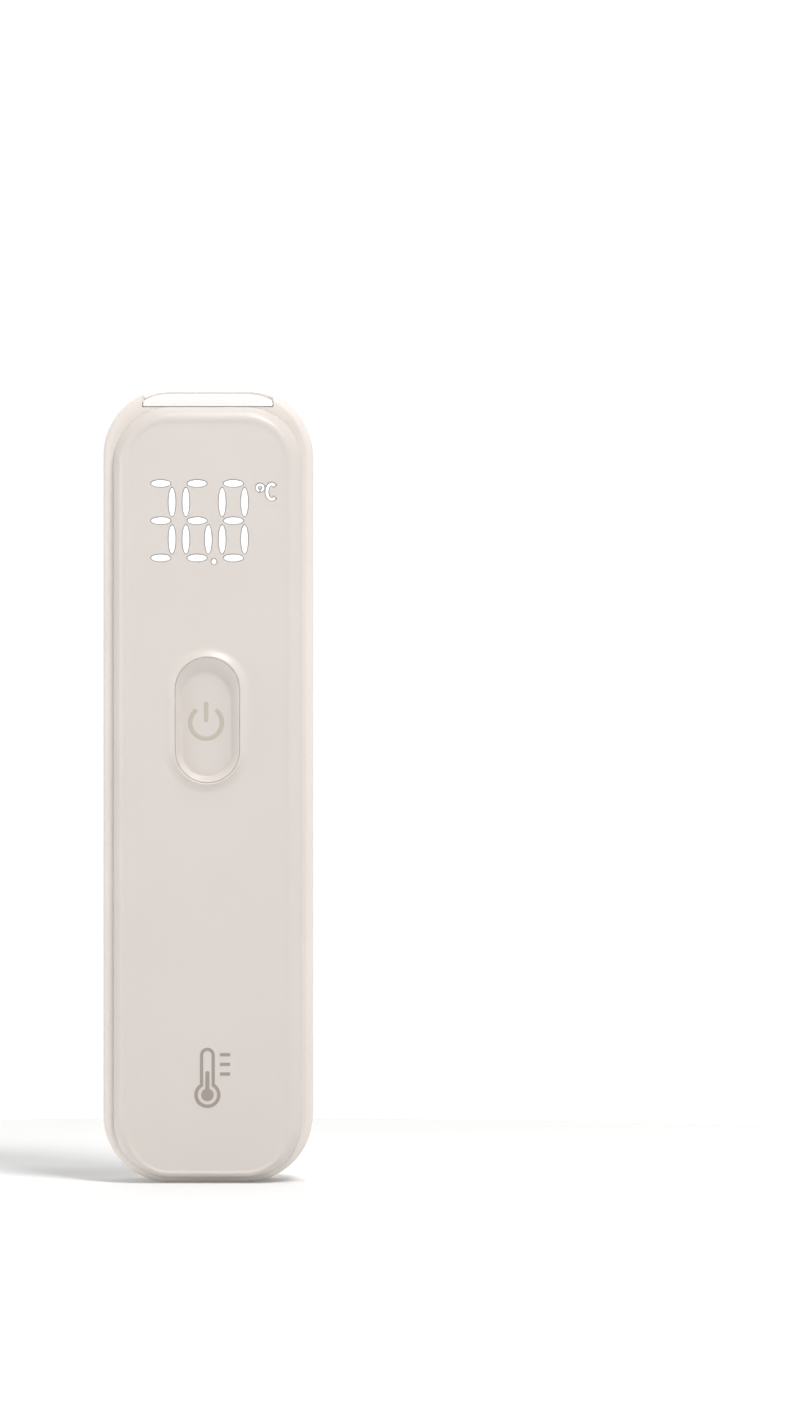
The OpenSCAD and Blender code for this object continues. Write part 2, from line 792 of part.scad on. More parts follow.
module battery_leads() {
    r = 0.45;
    y = tray_hi + tray_wall + 1;
    tab_h = cell_h + 2.75;
    pad_h = board_h - r;
    color("#a03028") upright() for (s = [-1, 1])
        wire([
            [s * cell_x, y, tab_h], [s * cell_x, y + 1, tab_h - 0.4],
            [s * (cell_x - 0.5), y + 2.3, tab_h - 0.2], [s * (cell_x - 1), y + 3.8, pad_h - 0.4],
            [s * (cell_x - 1.5), y + 5.3, pad_h]
        ], r, 8);
}

// ---------------------------------------------------------------- battery door

module battery_door() {
    groove_w = 11;
    color(shell_c) upright() difference() {
        union() {
            slab(2 * door_half, hinge_y, door_hi, 1.2, back_h, door_in);
            translate([-door_half, hinge_y, back_h]) cube([2 * door_half, 4, door_t]);
            translate([0, hinge_y, hinge_h]) rotate([0, 90, 0])
                cylinder(r = knuckle_r, h = 2 * door_half, center = true);
            translate([0, hinge_y, hinge_h]) rotate([0, 90, 0])
                cylinder(r = pin_r, h = 2 * (door_half + pin_l), center = true);
        }
        for (i = [0:3]) translate([-groove_w / 2, door_hi - 5 - i * 1.8, back_h - over])
            cube([groove_w, 0.8, over + 0.35]);
    }
}

module door_foam() {
    color("#55555a") upright() slab(14, tray_lo + 14, tray_lo + 38, 1, door_in, door_in + 0.3);
}

// ---------------------------------------------------------------- fasteners and label

module case_screws() {
    color("silver") upright() for (p = case_screws_at) translate([p[0], p[1], 0]) difference() {
        union() {
            translate([0, 0, back_h + screw_sink - screw_head_t])
                cylinder(r = screw_head_r, h = screw_head_t);
            translate([0, 0, back_h + screw_sink - eps])
                cylinder(r = case_screw_r, h = seam_h + 4 - back_h - screw_sink);
        }
        for (a = [0, 90]) translate([0, 0, back_h + screw_sink - screw_head_t + 0.3])
            rotate([0, 0, a]) cube([2.2, 0.5, 0.8], center = true);
    }
}

module rating_label() {
    color("#d6d3cd") upright() slab(label_w, label_lo, label_hi, 2, back_h + 0.03,
        back_h + label_sink);
}

rear_shell();
front_shell();
face_cover();
face_mark();
power_button();
power_icon();
tact_switch();
switch_plunger();
segment_lens();
display_reflector();
display_leds();
main_board();
controller_chip();
clock_crystal();
board_components();
buzzer();
board_screws();
sensor_cap();
sensor_gasket();
sensor_holder();
sensor_can();
sensor_filter();
sensor_pins();
sensor_board();
sensor_ribbon();
battery_left();
battery_right();
battery_springs();
contact_plates();
link_plate();
battery_leads();
battery_door();
door_foam();
case_screws();
rating_label();
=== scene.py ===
"""A slim infrared forehead thermometer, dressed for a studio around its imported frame.

Lengths in the classes are millimetres in the maker's own axes: x across, z along the length
from the foot, and h out of the display face, which looks towards -Y.
"""

import logging
import math
from collections.abc import Callable, Sequence
from dataclasses import dataclass, field, replace
from enum import Enum
from typing import Any, ClassVar

import bmesh
import bpy
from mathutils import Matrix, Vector


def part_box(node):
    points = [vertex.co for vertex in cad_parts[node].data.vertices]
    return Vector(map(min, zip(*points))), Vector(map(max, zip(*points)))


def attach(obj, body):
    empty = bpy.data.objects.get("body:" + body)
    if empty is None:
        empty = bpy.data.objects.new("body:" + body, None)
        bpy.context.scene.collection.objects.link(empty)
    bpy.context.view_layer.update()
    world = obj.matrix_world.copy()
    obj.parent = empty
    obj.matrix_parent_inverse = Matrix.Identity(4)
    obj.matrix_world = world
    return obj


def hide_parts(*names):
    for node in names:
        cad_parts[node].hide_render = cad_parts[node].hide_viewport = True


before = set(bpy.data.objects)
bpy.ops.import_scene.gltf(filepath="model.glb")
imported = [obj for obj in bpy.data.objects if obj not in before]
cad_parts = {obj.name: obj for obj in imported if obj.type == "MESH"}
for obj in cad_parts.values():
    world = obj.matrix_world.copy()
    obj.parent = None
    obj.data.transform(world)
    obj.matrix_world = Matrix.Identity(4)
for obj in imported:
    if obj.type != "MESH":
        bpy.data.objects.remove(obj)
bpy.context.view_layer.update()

MM = 0.001
SHARP_ANGLE = math.radians(38)
WELD_MM = 0.002
ROUND_MM = 0.18
ROUND_STEPS = 2
ROUND_ANGLE = math.radians(50)
log = logging.getLogger("thermometer")

Point = tuple[float, float]
Triple = tuple[float, float, float]
Colour = tuple[float, float, float, float]
Outline = list[Point]
Height = float | Callable[[float, float], float]
Ring = tuple[Outline, Height]
Verts = list[bmesh.types.BMVert]
Socket = bpy.types.NodeSocket


class Body(Enum):
    """Bodies of the frame that the pieces move with."""

    ROOT = "root"
    BUTTON = "power_button"


class Slot(Enum):
    """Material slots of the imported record."""

    SHELL = "shell_plastic"
    COVER = "cover_plastic"
    BUTTON = "button_plastic"
    CAP = "gloss_white"
    PRINT = "grey_print"
    ICON = "icon_print"
    BLACK = "black_plastic"
    PLUNGER = "grey_plastic"
    REFLECTOR = "white_plastic"
    LED = "led_chips"
    BOARD = "green_board"
    STEEL = "steel"
    CAN = "can_steel"
    HOLDER = "holder_aluminium"
    CHIPS = "small_parts"
    RUBBER = "black_rubber"
    FOAM = "dark_foam"
    FILTER = "dark_filter"
    GOLD = "gold_pins"
    RIBBON = "ribbon_film"
    CELL = "cell_wrap"
    WIRE = "wire_sleeve"
    LABEL = "label_film"
    LIT = "lit_segments"


# ---------------------------------------------------------------- outlines and lofts


def rounded(half_w: float, lo: float, hi: float, r: float, steps: int = 20) -> Outline:
    """Outline of a rounded rectangle centred on x.

    Args:
        half_w: Half of its width.
        lo: Its lower edge.
        hi: Its upper edge.
        r: Corner radius.
        steps: Pieces in each corner's arc.

    Returns:
        Its points, anticlockwise as seen from the front.
    """
    centres = [(half_w - r, hi - r), (r - half_w, hi - r), (r - half_w, lo + r), (half_w - r, lo + r)]
    points = []
    for quarter, (cx, cz) in enumerate(centres):
        for i in range(steps + 1):
            angle = math.pi / 2 * (quarter + i / steps)
            points.append((cx + r * math.cos(angle), cz + r * math.sin(angle)))
    return points


def pill(cx: float, cz: float, r: float, run: float, steps: int = 40) -> Outline:
    """Outline of a pill whose length lies along z.

    Args:
        cx: Centre across.
        cz: Centre along the length.
        r: Radius of its ends.
        run: Half length of its straight sides.
        steps: Pieces in each end's arc.

    Returns:
        Its points, anticlockwise as seen from the front.
    """
    points = []
    for end, lift in enumerate((run, -run)):
        for i in range(steps + 1):
            angle = math.pi * (end + i / steps)
            points.append((cx + r * math.cos(angle), cz + lift + r * math.sin(angle)))
    return points


def lerp(a: float, b: float, t: float) -> float:
    """Value a share t of the way from a to b."""
    return a + (b - a) * t


def ease(t: float) -> float:
    """Smooth rise from 0 to 1 with level ends."""
    return t * t * (3 - 2 * t)


@dataclass
class Loft:
    """A closed mesh that is grown ring by ring and then capped."""

    bm: bmesh.types.BMesh = field(default_factory=bmesh.new)
    paint: int = 0

    def ring(self, outline: Outline, h: Height) -> Verts:
        """Adds one ring of points.

        Args:
            outline: Its points in plan.
            h: Its height, or a function of x and z that gives it.

        Returns:
            The new vertices.
        """
        level = h if callable(h) else lambda x, z: h
        return [self.bm.verts.new((x * MM, -level(x, z) * MM, z * MM)) for x, z in outline]

    def bridge(self, rings: Sequence[Verts]) -> None:
        """Joins each ring to the next with a band of quads in the current paint.

        Args:
            rings: The rings in order, all with the same number of vertices.
        """
        for low, high in zip(rings, rings[1:]):
            count = len(low)
            for i in range(count):
                j = (i + 1) % count
                self.bm.faces.new((low[i], low[j], high[j], high[i])).material_index = self.paint

    def cap(self, *loops: Verts) -> None:
        """Fills a flat region between closed loops.

        Args:
            *loops: The loop round the region, then the loops of its holes.
        """
        edges = []
        for loop in loops:
            for i, vert in enumerate(loop):
                pair = (vert, loop[(i + 1) % len(loop)])
                edges.append(self.bm.edges.get(pair) or self.bm.edges.new(pair))
        bmesh.ops.triangle_fill(self.bm, edges=edges, use_beauty=True, normal=(0, -1, 0))

    def column(self, rings: Sequence[Ring]) -> list[Verts]:
        """Makes rings and joins them.

        Args:
            rings: Outline and height of each ring, all with the same number of points.

        Returns:
            The vertices of each ring.
        """
        made = [self.ring(outline, h) for outline, h in rings]
        self.bridge(made)
        return made

    def solid(self, rings: Sequence[Ring]) -> None:
        """Makes rings, joins them and closes both ends.

        Args:
            rings: Outline and height of each ring, all with the same number of points.
        """
        made = self.column(rings)
        self.cap(made[0])
        self.cap(made[-1])

    def piece(self, name: str, *materials: bpy.types.Material) -> bpy.types.Object:
        """Turns the mesh into a smooth-shaded object with crisp edges.

        Args:
            name: Name of the new piece.
            *materials: Its materials, in the order of the paint numbers.

        Returns:
            The new object, linked to the scene.
        """
        bmesh.ops.recalc_face_normals(self.bm, faces=self.bm.faces[:])
        mesh = bpy.data.meshes.new(name)
        self.bm.to_mesh(mesh)
        self.bm.free()
        mesh.shade_smooth()
        mesh.set_sharp_from_angle(angle=SHARP_ANGLE)
        for material in materials:
            mesh.materials.append(material)
        made = bpy.data.objects.new(name, mesh)
        bpy.context.scene.collection.objects.link(made)
        return made


def place(piece: bpy.types.Object, body: Body, slot: Slot, *nodes: str) -> None:
    """Puts a piece on its body and in place of its frame nodes.

    Args:
        piece: The new piece.
        body: The body that it moves with.
        slot: Its material slot; not used.
        *nodes: The nodes that it stands for.
    """
    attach(piece, body.value)
    if nodes:
        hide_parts(*nodes)
    log.info("%s: %d faces, in place of %s", piece.name, len(piece.data.polygons), nodes or "nothing")


def dress(material: bpy.types.Material, *nodes: str) -> None:
    """Gives frame nodes their finish.

    Args:
        material: The finish.
        *nodes: Names of the nodes.
    """
    for name in nodes:
        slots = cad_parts[name].data.materials
        slots.clear()
        slots.append(material)
        log.info("%s: finished in %s", name, material.name)


def soften(*nodes: str) -> None:
    """Rounds the crisp edges of frame nodes a little, as a mould would.

    Args:
        *nodes: Names of the nodes.
    """
    for name in nodes:
        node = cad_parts[name]
        weld = node.modifiers.new("weld", "WELD")
        weld.merge_threshold = WELD_MM * MM
        bevel = node.modifiers.new("round", "BEVEL")
        bevel.width = ROUND_MM * MM
        bevel.segments = ROUND_STEPS
        bevel.limit_method = "ANGLE"
        bevel.angle_limit = ROUND_ANGLE
        bevel.harden_normals = False
        even = node.modifiers.new("even", "WEIGHTED_NORMAL")
        even.keep_sharp = True


# ---------------------------------------------------------------- node work


@dataclass
class Graph:
    """Adds nodes to a shader tree and links their sockets."""

    tree: bpy.types.NodeTree

    def add(self, kind: str, inputs: dict[str | int, Any] | None = None, **settings: Any) -> Any:
        """Adds one node.

        Args:
            kind: Its type, without the leading ShaderNode.
            inputs: Values or source sockets for its inputs.
            **settings: Its own properties.

        Returns:
            The node.
        """
        node = self.tree.nodes.new("ShaderNode" + kind)
        for name, value in settings.items():
            setattr(node, name, value)
        for name, value in (inputs or {}).items():
            if isinstance(value, Socket):
                self.tree.links.new(value, node.inputs[name])
            else:
                node.inputs[name].default_value = value
        return node

    def math(self, operation: str, a: Any, b: Any = 0.0, clamp: bool = False) -> Socket:
        """Result of one operation on two values or sockets."""
        return self.add("Math", {0: a, 1: b}, operation=operation, use_clamp=clamp).outputs[0]

    def times(self, a: Any, b: Any) -> Socket:
        """Product of two values or sockets."""
        return self.math("MULTIPLY", a, b)

    def plus(self, a: Any, b: Any, clamp: bool = False) -> Socket:
        """Sum of two values or sockets."""
        return self.math("ADD", a, b, clamp)

    def minus(self, a: Any, b: Any) -> Socket:
        """What is left of a when b is taken off."""
        return self.math("SUBTRACT", a, b)

    def mix(self, share: Any, a: Any, b: Any) -> Socket:
        """Colour between a and b, where a, b and share are values or sockets."""
        return self.add("Mix", {0: share, 6: a, 7: b}, data_type="RGBA").outputs[2]

    def noise(self, scale: Any, detail: float = 2.0, stretch: Triple = (1, 1, 1)) -> Socket:
        """Adds noise in the object's own space.

        Args:
            scale: How many lumps there are in a metre.
            detail: How many finer layers it has.
            stretch: Share of the scale along each axis.

        Returns:
            A value from 0 to 1.
        """
        spot = self.add("TexCoord").outputs["Object"]
        spot = self.add("Mapping", {"Vector": spot, "Scale": stretch}).outputs[0]
        return self.add("TexNoise", {"Vector": spot, "Scale": scale, "Detail": detail}).outputs[0]

    def ramp(self, value: Any, low: float, high: float) -> Socket:
        """Value rescaled so that low gives 0 and high gives 1."""
        inputs = {"Value": value, "From Min": low, "From Max": high}
        return self.add("MapRange", inputs, interpolation_type="SMOOTHSTEP").outputs[0]


GroupSocket = tuple[str, str, Any]


def effect(name: str, inputs: Sequence[GroupSocket], outputs: Sequence[tuple[str, str]],
           fill: Callable[[Graph, Any], dict[str, Any]]) -> bpy.types.NodeTree:
    """Builds a shared effect as a node group.

    Args:
        name: Name of the group.
        inputs: Name, socket type and default of each input.
        outputs: Name and socket type of each output.
        fill: Function that adds the nodes and returns the socket for each output.

    Returns:
        The group.
    """
    found = bpy.data.node_groups.get(name)
    if found:
        return found
    tree = bpy.data.node_groups.new(name, "ShaderNodeTree")
    for label, kind, default in inputs:
        tree.interface.new_socket(name=label, in_out="INPUT", socket_type=kind).default_value = default
    for label, kind in outputs:
        tree.interface.new_socket(name=label, in_out="OUTPUT", socket_type=kind)
    entry = tree.nodes.new("NodeGroupInput")
    end = tree.nodes.new("NodeGroupOutput")
    for label, socket in fill(Graph(tree), entry.outputs).items():
        tree.links.new(socket, end.inputs[label])
    return tree


COLOUR, VALUE = "NodeSocketColor", "NodeSocketFloat"
GREY = (0.5, 0.5, 0.5, 1.0)
DUST = (0.62, 0.60, 0.57, 1.0)
SURFACE = [("Color", COLOUR), ("Roughness", VALUE), ("Height", VALUE)]


def moulded_skin() -> bpy.types.NodeTree:
    """Skin of moulded plastic: fine spark-eroded grain, slow tone drift and sheen changes.

    Returns:
        The node group.
    """

    def fill(g: Graph, source: Any) -> dict[str, Any]:
        """Adds the nodes of the effect.

        Args:
            g: The group's node tree.
            source: The group's inputs.

        Returns:
            The socket of each output.
        """
        grain = g.noise(source["Grain"], detail=3.0)
        slow = g.noise(45.0, detail=2.0)
        flow = g.noise(22.0, detail=1.0, stretch=(1, 1, 0.25))
        shade = g.ramp(g.plus(g.times(slow, 0.6), g.times(flow, 0.4)), low=0.35, high=0.65)
        tone = g.mix(g.times(shade, source["Drift"]), source["Color"], source["Tint"])
        pits = g.ramp(grain, low=0.3, high=0.7)
        sheen = g.times(g.minus(slow, 0.5), source["Spread"])
        fleck = g.times(g.minus(pits, 0.5), g.times(source["Spread"], 0.5))
        rough = g.plus(source["Roughness"], g.plus(sheen, fleck), clamp=True)
        return {"Color": tone, "Roughness": rough, "Height": pits}

    inputs = [("Color", COLOUR, GREY), ("Tint", COLOUR, GREY), ("Drift", VALUE, 0.5),
              ("Grain", VALUE, 5000.0), ("Roughness", VALUE, 0.4), ("Spread", VALUE, 0.1)]
    return effect("moulded_skin", inputs, SURFACE, fill)


def handling() -> bpy.types.NodeTree:
    """Traces of use: thumb smudges that dull the sheen, hairlines and a trace of dust on ledges.

    Returns:
        The node group.
    """

    def fill(g: Graph, source: Any) -> dict[str, Any]:
        """Adds the nodes of the effect.

        Args:
            g: The group's node tree.
            source: The group's inputs.

        Returns:
            The socket of each output.
        """
        smudge = g.ramp(g.noise(95.0, detail=4.0, stretch=(1, 1, 0.6)), low=0.52, high=0.72)
        hair = g.ramp(g.noise(700.0, detail=1.0, stretch=(1, 1, 0.03)), low=0.72, high=0.8)
        cross = g.ramp(g.noise(600.0, detail=1.0, stretch=(0.04, 1, 1)), low=0.74, high=0.82)
        lines = g.math("MAXIMUM", hair, cross)
        split = g.add("SeparateXYZ", {0: g.add("NewGeometry").outputs["Normal"]})
        ledge = g.ramp(split.outputs[2], low=0.55, high=1.0)
        dust = g.times(ledge, g.ramp(g.noise(2600.0, detail=3.0), low=0.5, high=0.7))
        worn = g.times(lines, g.times(source["Amount"], 0.5))
        tone = g.mix(worn, source["Color"], source["Worn"])
        tone = g.mix(g.times(dust, source["Dust"]), tone, DUST)
        dull = g.times(g.plus(smudge, lines), g.times(source["Amount"], 0.35))
        rough = g.plus(source["Roughness"], dull, clamp=True)
        return {"Color": tone, "Roughness": rough, "Height": g.minus(1.0, lines)}

    inputs = [("Color", COLOUR, GREY), ("Worn", COLOUR, GREY), ("Roughness", VALUE, 0.4),
              ("Amount", VALUE, 0.3), ("Dust", VALUE, 0.2)]
    return effect("handling", inputs, SURFACE, fill)


def drawn_metal() -> bpy.types.NodeTree:
    """Streaks that drawing, turning or plating leaves on metal, with faint tarnish.

    Returns:
        The node group.
    """

    def fill(g: Graph, source: Any) -> dict[str, Any]:
        """Adds the nodes of the effect.

        Args:
            g: The group's node tree.
            source: The group's inputs.

        Returns:
            The socket of each output.
        """
        streak = g.noise(source["Streaks"], detail=2.0, stretch=(1, 1, 0.06))
        cloud = g.noise(380.0, detail=3.0)
        tarnish = g.times(g.ramp(cloud, low=0.45, high=0.75), source["Tarnish"])
        tone = g.mix(g.times(streak, 0.35), source["Color"], source["Dark"])
        tone = g.mix(tarnish, tone, source["Dark"])
        rise = g.times(g.plus(streak, g.times(tarnish, 2.0)), 0.22)
        rough = g.plus(source["Roughness"], rise, clamp=True)
        return {"Color": tone, "Roughness": rough, "Height": streak}

    inputs = [("Color", COLOUR, GREY), ("Dark", COLOUR, GREY), ("Streaks", VALUE, 3000.0),
              ("Tarnish", VALUE, 0.3), ("Roughness", VALUE, 0.25)]
    return effect("drawn_metal", inputs, SURFACE, fill)


# ---------------------------------------------------------------- finishes


def tone(colour: Triple, share: float = 1.0) -> Colour:
    """Colour scaled by a share, with full alpha."""
    return (colour[0] * share, colour[1] * share, colour[2] * share, 1.0)


@dataclass(frozen=True)
class Finish:
    """What every finish has: a slot, and a surface whose colour, sheen and relief it makes."""

    slot: Slot

    def surface(self, g: Graph) -> dict[str, Any]:
        """Adds the surface's nodes.

        Args:
            g: The material's node tree.

        Returns:
            The value or socket of each input that it feeds, and of the relief's Height.
        """
        raise NotImplementedError

    def relief(self) -> float:
        """Height of the relief in millimetres."""
        return 0.0

    def constants(self) -> dict[str, Any]:
        """Values that are the same all over and go straight onto the shader."""
        return {}

    def make(self, name: str = "") -> bpy.types.Material:
        """Builds the material.

        Args:
            name: Its name, if it isn't named after its slot.

        Returns:
            The material.
        """
        material = bpy.data.materials.new(name or "finish_" + self.slot.value)
        material.use_nodes = True
        material.node_tree.nodes.clear()
        g = Graph(material.node_tree)
        parts = self.surface(g)
        relief = {"Height": parts.pop("Height"), "Distance": self.relief() * MM, "Strength": 1.0}
        bump = g.add("Bump", relief)
        inputs = {**self.constants(), **parts, "Normal": bump.outputs[0]}
        shader = g.add("BsdfPrincipled", inputs)
        g.add("OutputMaterial", {"Surface": shader.outputs[0]})
        return material


@dataclass(frozen=True)
class Moulding(Finish):
    """Moulded plastic or rubber."""

    colour: Triple
    roughness: float = 0.42
    spread: float = 0.1
    drift: float = 0.5
    grain: float = 5200.0
    depth: float = 0.004
    use: float = 0.3
    tint: float = 0.93
    worn: float = 0.86
    dust: float = 0.15
    coat: float = 0.0
    coat_roughness: float = 0.1
    ior: float = 1.5

    def surface(self, g: Graph) -> dict[str, Any]:
        """Adds the moulded skin and the traces of use over it.

        Args:
            g: The material's node tree.

        Returns:
            The value or socket of each input that it feeds.
        """
        plain = {"Color": tone(self.colour), "Tint": tone(self.colour, self.tint), "Drift": self.drift,
                 "Grain": self.grain, "Roughness": self.roughness, "Spread": self.spread}
        skin = g.add("Group", plain, node_tree=moulded_skin()).outputs
        wear = {"Color": skin["Color"], "Worn": tone(self.colour, self.worn),
                "Roughness": skin["Roughness"], "Amount": self.use, "Dust": self.dust}
        used = g.add("Group", wear, node_tree=handling()).outputs
        height = g.plus(skin["Height"], g.times(used["Height"], self.use))
        return {"Base Color": used["Color"], "Roughness": used["Roughness"], "Height": height}

    def relief(self) -> float:
        """Depth of the moulded grain."""
        return self.depth

    def constants(self) -> dict[str, Any]:
        """Coat and refraction of the plastic."""
        return {"Coat Weight": self.coat, "Coat Roughness": self.coat_roughness, "IOR": self.ior}


@dataclass(frozen=True)
class Metal(Finish):
    """Drawn, turned or plated metal."""

    colour: Triple
    roughness: float = 0.24
    dark: float = 0.7
    streaks: float = 3200.0
    tarnish: float = 0.3
    depth: float = 0.003

    def surface(self, g: Graph) -> dict[str, Any]:
        """Adds the drawn metal's streaks.

        Args:
            g: The material's node tree.

        Returns:
            The value or socket of each input that it feeds.
        """
        inputs = {"Color": tone(self.colour), "Dark": tone(self.colour, self.dark),
                  "Streaks": self.streaks, "Tarnish": self.tarnish, "Roughness": self.roughness}
        drawn = g.add("Group", inputs, node_tree=drawn_metal()).outputs
        return {"Base Color": drawn["Color"], "Roughness": drawn["Roughness"], "Height": drawn["Height"]}

    def relief(self) -> float:
        """Depth of the streaks."""
        return self.depth

    def constants(self) -> dict[str, Any]:
        """Metal all over."""
        return {"Metallic": 1.0}


@dataclass(frozen=True)
class SolderMask(Finish):
    """Green circuit board: copper tracks under the mask, bare tinned pads and weave."""

    mask: Triple = (0.05, 0.20, 0.10)
    track: Triple = (0.09, 0.33, 0.15)
    pad: Triple = (0.72, 0.66, 0.50)
    pitch: float = 620.0
    copper: float = 0.03

    def surface(self, g: Graph) -> dict[str, Any]:
        """Adds tracks, pads and weave.

        Args:
            g: The material's node tree.

        Returns:
            The value or socket of each input that it feeds.
        """
        spot = g.add("TexCoord").outputs["Object"]
        flat = g.add("Mapping", {"Vector": spot, "Rotation": (math.pi / 2, 0, 0)}).outputs[0]
        brick = g.add("TexBrick", {"Vector": flat, "Scale": self.pitch, "Mortar Size": 0.09,
                                   "Brick Width": 1.9, "Row Height": 0.62}, offset=0.37, squash=1.4)
        tracks = brick.outputs["Fac"]
        dots = g.add("TexVoronoi", {"Vector": flat, "Scale": self.pitch * 0.9, "Randomness": 0.75})
        pads = g.minus(1.0, g.ramp(dots.outputs["Distance"], low=0.16, high=0.19))
        weave = g.noise(2400.0, detail=1.0, stretch=(1, 1, 0.2))
        base = g.mix(weave, tone(self.mask, 0.85), tone(self.mask, 1.15))
        base = g.mix(tracks, base, tone(self.track))
        base = g.mix(pads, base, tone(self.pad))
        rough = g.plus(0.3, g.times(weave, 0.12))
        height = g.plus(tracks, g.times(pads, 0.7))
        return {"Base Color": base, "Roughness": rough, "Metallic": g.times(pads, 0.9),
                "Height": height}

    def relief(self) -> float:
        """Thickness of the copper under the mask."""
        return self.copper

    def constants(self) -> dict[str, Any]:
        """Clear shine of the mask."""
        return {"Coat Weight": 0.4, "Coat Roughness": 0.15}


@dataclass(frozen=True)
class CellSleeve(Finish):
    """Shrunk sleeve of a battery: brushed silver with a plain coloured band and bare ends."""

    silver: Triple = (0.62, 0.63, 0.66)
    band: Triple = (0.06, 0.16, 0.34)
    band_lo: float = 38.0
    band_hi: float = 47.0
    fade: float = 0.15
    depth: float = 0.004

    def surface(self, g: Graph) -> dict[str, Any]:
        """Adds the brushed sleeve and its band.

        Args:
            g: The material's node tree.

        Returns:
            The value or socket of each input that it feeds.
        """
        split = g.add("SeparateXYZ", {0: g.add("TexCoord").outputs["Object"]})
        above, below = (g.ramp(split.outputs[2], (end - self.fade) * MM, (end + self.fade) * MM)
                        for end in (self.band_lo, self.band_hi))
        band = g.times(above, g.minus(1.0, below))
        brushed = g.noise(2600.0, detail=2.0, stretch=(1, 1, 0.03))
        scuffs = g.ramp(g.noise(240.0, detail=4.0), low=0.58, high=0.7)
        base = g.mix(brushed, tone(self.silver, 0.8), tone(self.silver))
        base = g.mix(band, base, tone(self.band))
        base = g.mix(g.times(scuffs, 0.25), base, tone(self.silver, 0.55))
        rough = g.plus(0.26, g.times(g.plus(scuffs, brushed), 0.14))
        metal = g.minus(0.85, g.times(band, 0.75))
        return {"Base Color": base, "Roughness": rough, "Metallic": metal, "Height": brushed}

    def relief(self) -> float:
        """Depth of the brushing."""
        return self.depth

    def constants(self) -> dict[str, Any]:
        """Varnish over the print."""
        return {"Coat Weight": 0.5, "Coat Roughness": 0.12}


@dataclass(frozen=True)
class LabelFilm(Finish):
    """Blank satin label: fibrous film with a thin printed border and ruled lines."""

    paper: Triple = (0.72, 0.71, 0.69)
    ink: Triple = (0.33, 0.33, 0.33)
    half_w: float = 9.4
    lo: float = 74.4
    hi: float = 111.2
    rule: float = 0.12
    row: float = 6.13
    depth: float = 0.004

    def surface(self, g: Graph) -> dict[str, Any]:
        """Adds film, border and rules.

        Args:
            g: The material's node tree.

        Returns:
            The value or socket of each input that it feeds.
        """
        split = g.add("SeparateXYZ", {0: g.add("TexCoord").outputs["Object"]})
        across = g.math("ABSOLUTE", split.outputs[0])
        mid, half_l = (self.lo + self.hi) / 2, (self.hi - self.lo) / 2
        along = g.math("ABSOLUTE", g.minus(split.outputs[2], mid * MM))
        reach = g.math("MAXIMUM", g.minus(across, self.half_w * MM),
                       g.minus(along, half_l * MM))
        border = g.math("LESS_THAN", g.math("ABSOLUTE", reach), self.rule * MM)
        phase = g.math("PINGPONG", g.minus(split.outputs[2], self.lo * MM), self.row / 2 * MM)
        rules = g.times(g.math("LESS_THAN", phase, self.rule / 2 * MM),
                       g.math("LESS_THAN", reach, 0.0))
        ink = g.math("MAXIMUM", border, rules)
        fibre = g.noise(3000.0, detail=3.0, stretch=(1, 1, 0.3))
        base = g.mix(fibre, tone(self.paper, 0.94), tone(self.paper))
        base = g.mix(g.times(ink, 0.8), base, tone(self.ink))
        rough = g.plus(0.42, g.times(fibre, 0.14))
        return {"Base Color": base, "Roughness": rough, "Height": fibre}

    def relief(self) -> float:
        """Depth of the film's fibre."""
        return self.depth


@dataclass(frozen=True)
class Glow(Finish):
    """Milky light guide that glows through its face."""

    colour: Triple = (0.92, 0.93, 0.95)
    light: Triple = (1.0, 1.0, 1.0)
    strength: float = 0.35
    cloud: float = 900.0
    depth: float = 0.003

    def surface(self, g: Graph) -> dict[str, Any]:
        """Adds the clouding of the milky plastic.

        Args:
            g: The material's node tree.

        Returns:
            The value or socket of each input that it feeds.
        """
        cloud = g.noise(self.cloud, detail=3.0)
        base = g.mix(cloud, tone(self.colour, 0.96), tone(self.colour))
        light = g.mix(cloud, tone(self.light, 0.93), tone(self.light))
        rough = g.plus(0.3, g.times(cloud, 0.15))
        return {"Base Color": base, "Roughness": rough, "Emission Color": light, "Height": cloud}

    def relief(self) -> float:
        """Depth of the clouding."""
        return self.depth

    def constants(self) -> dict[str, Any]:
        """Strength of the glow."""
        return {"Emission Strength": self.strength}


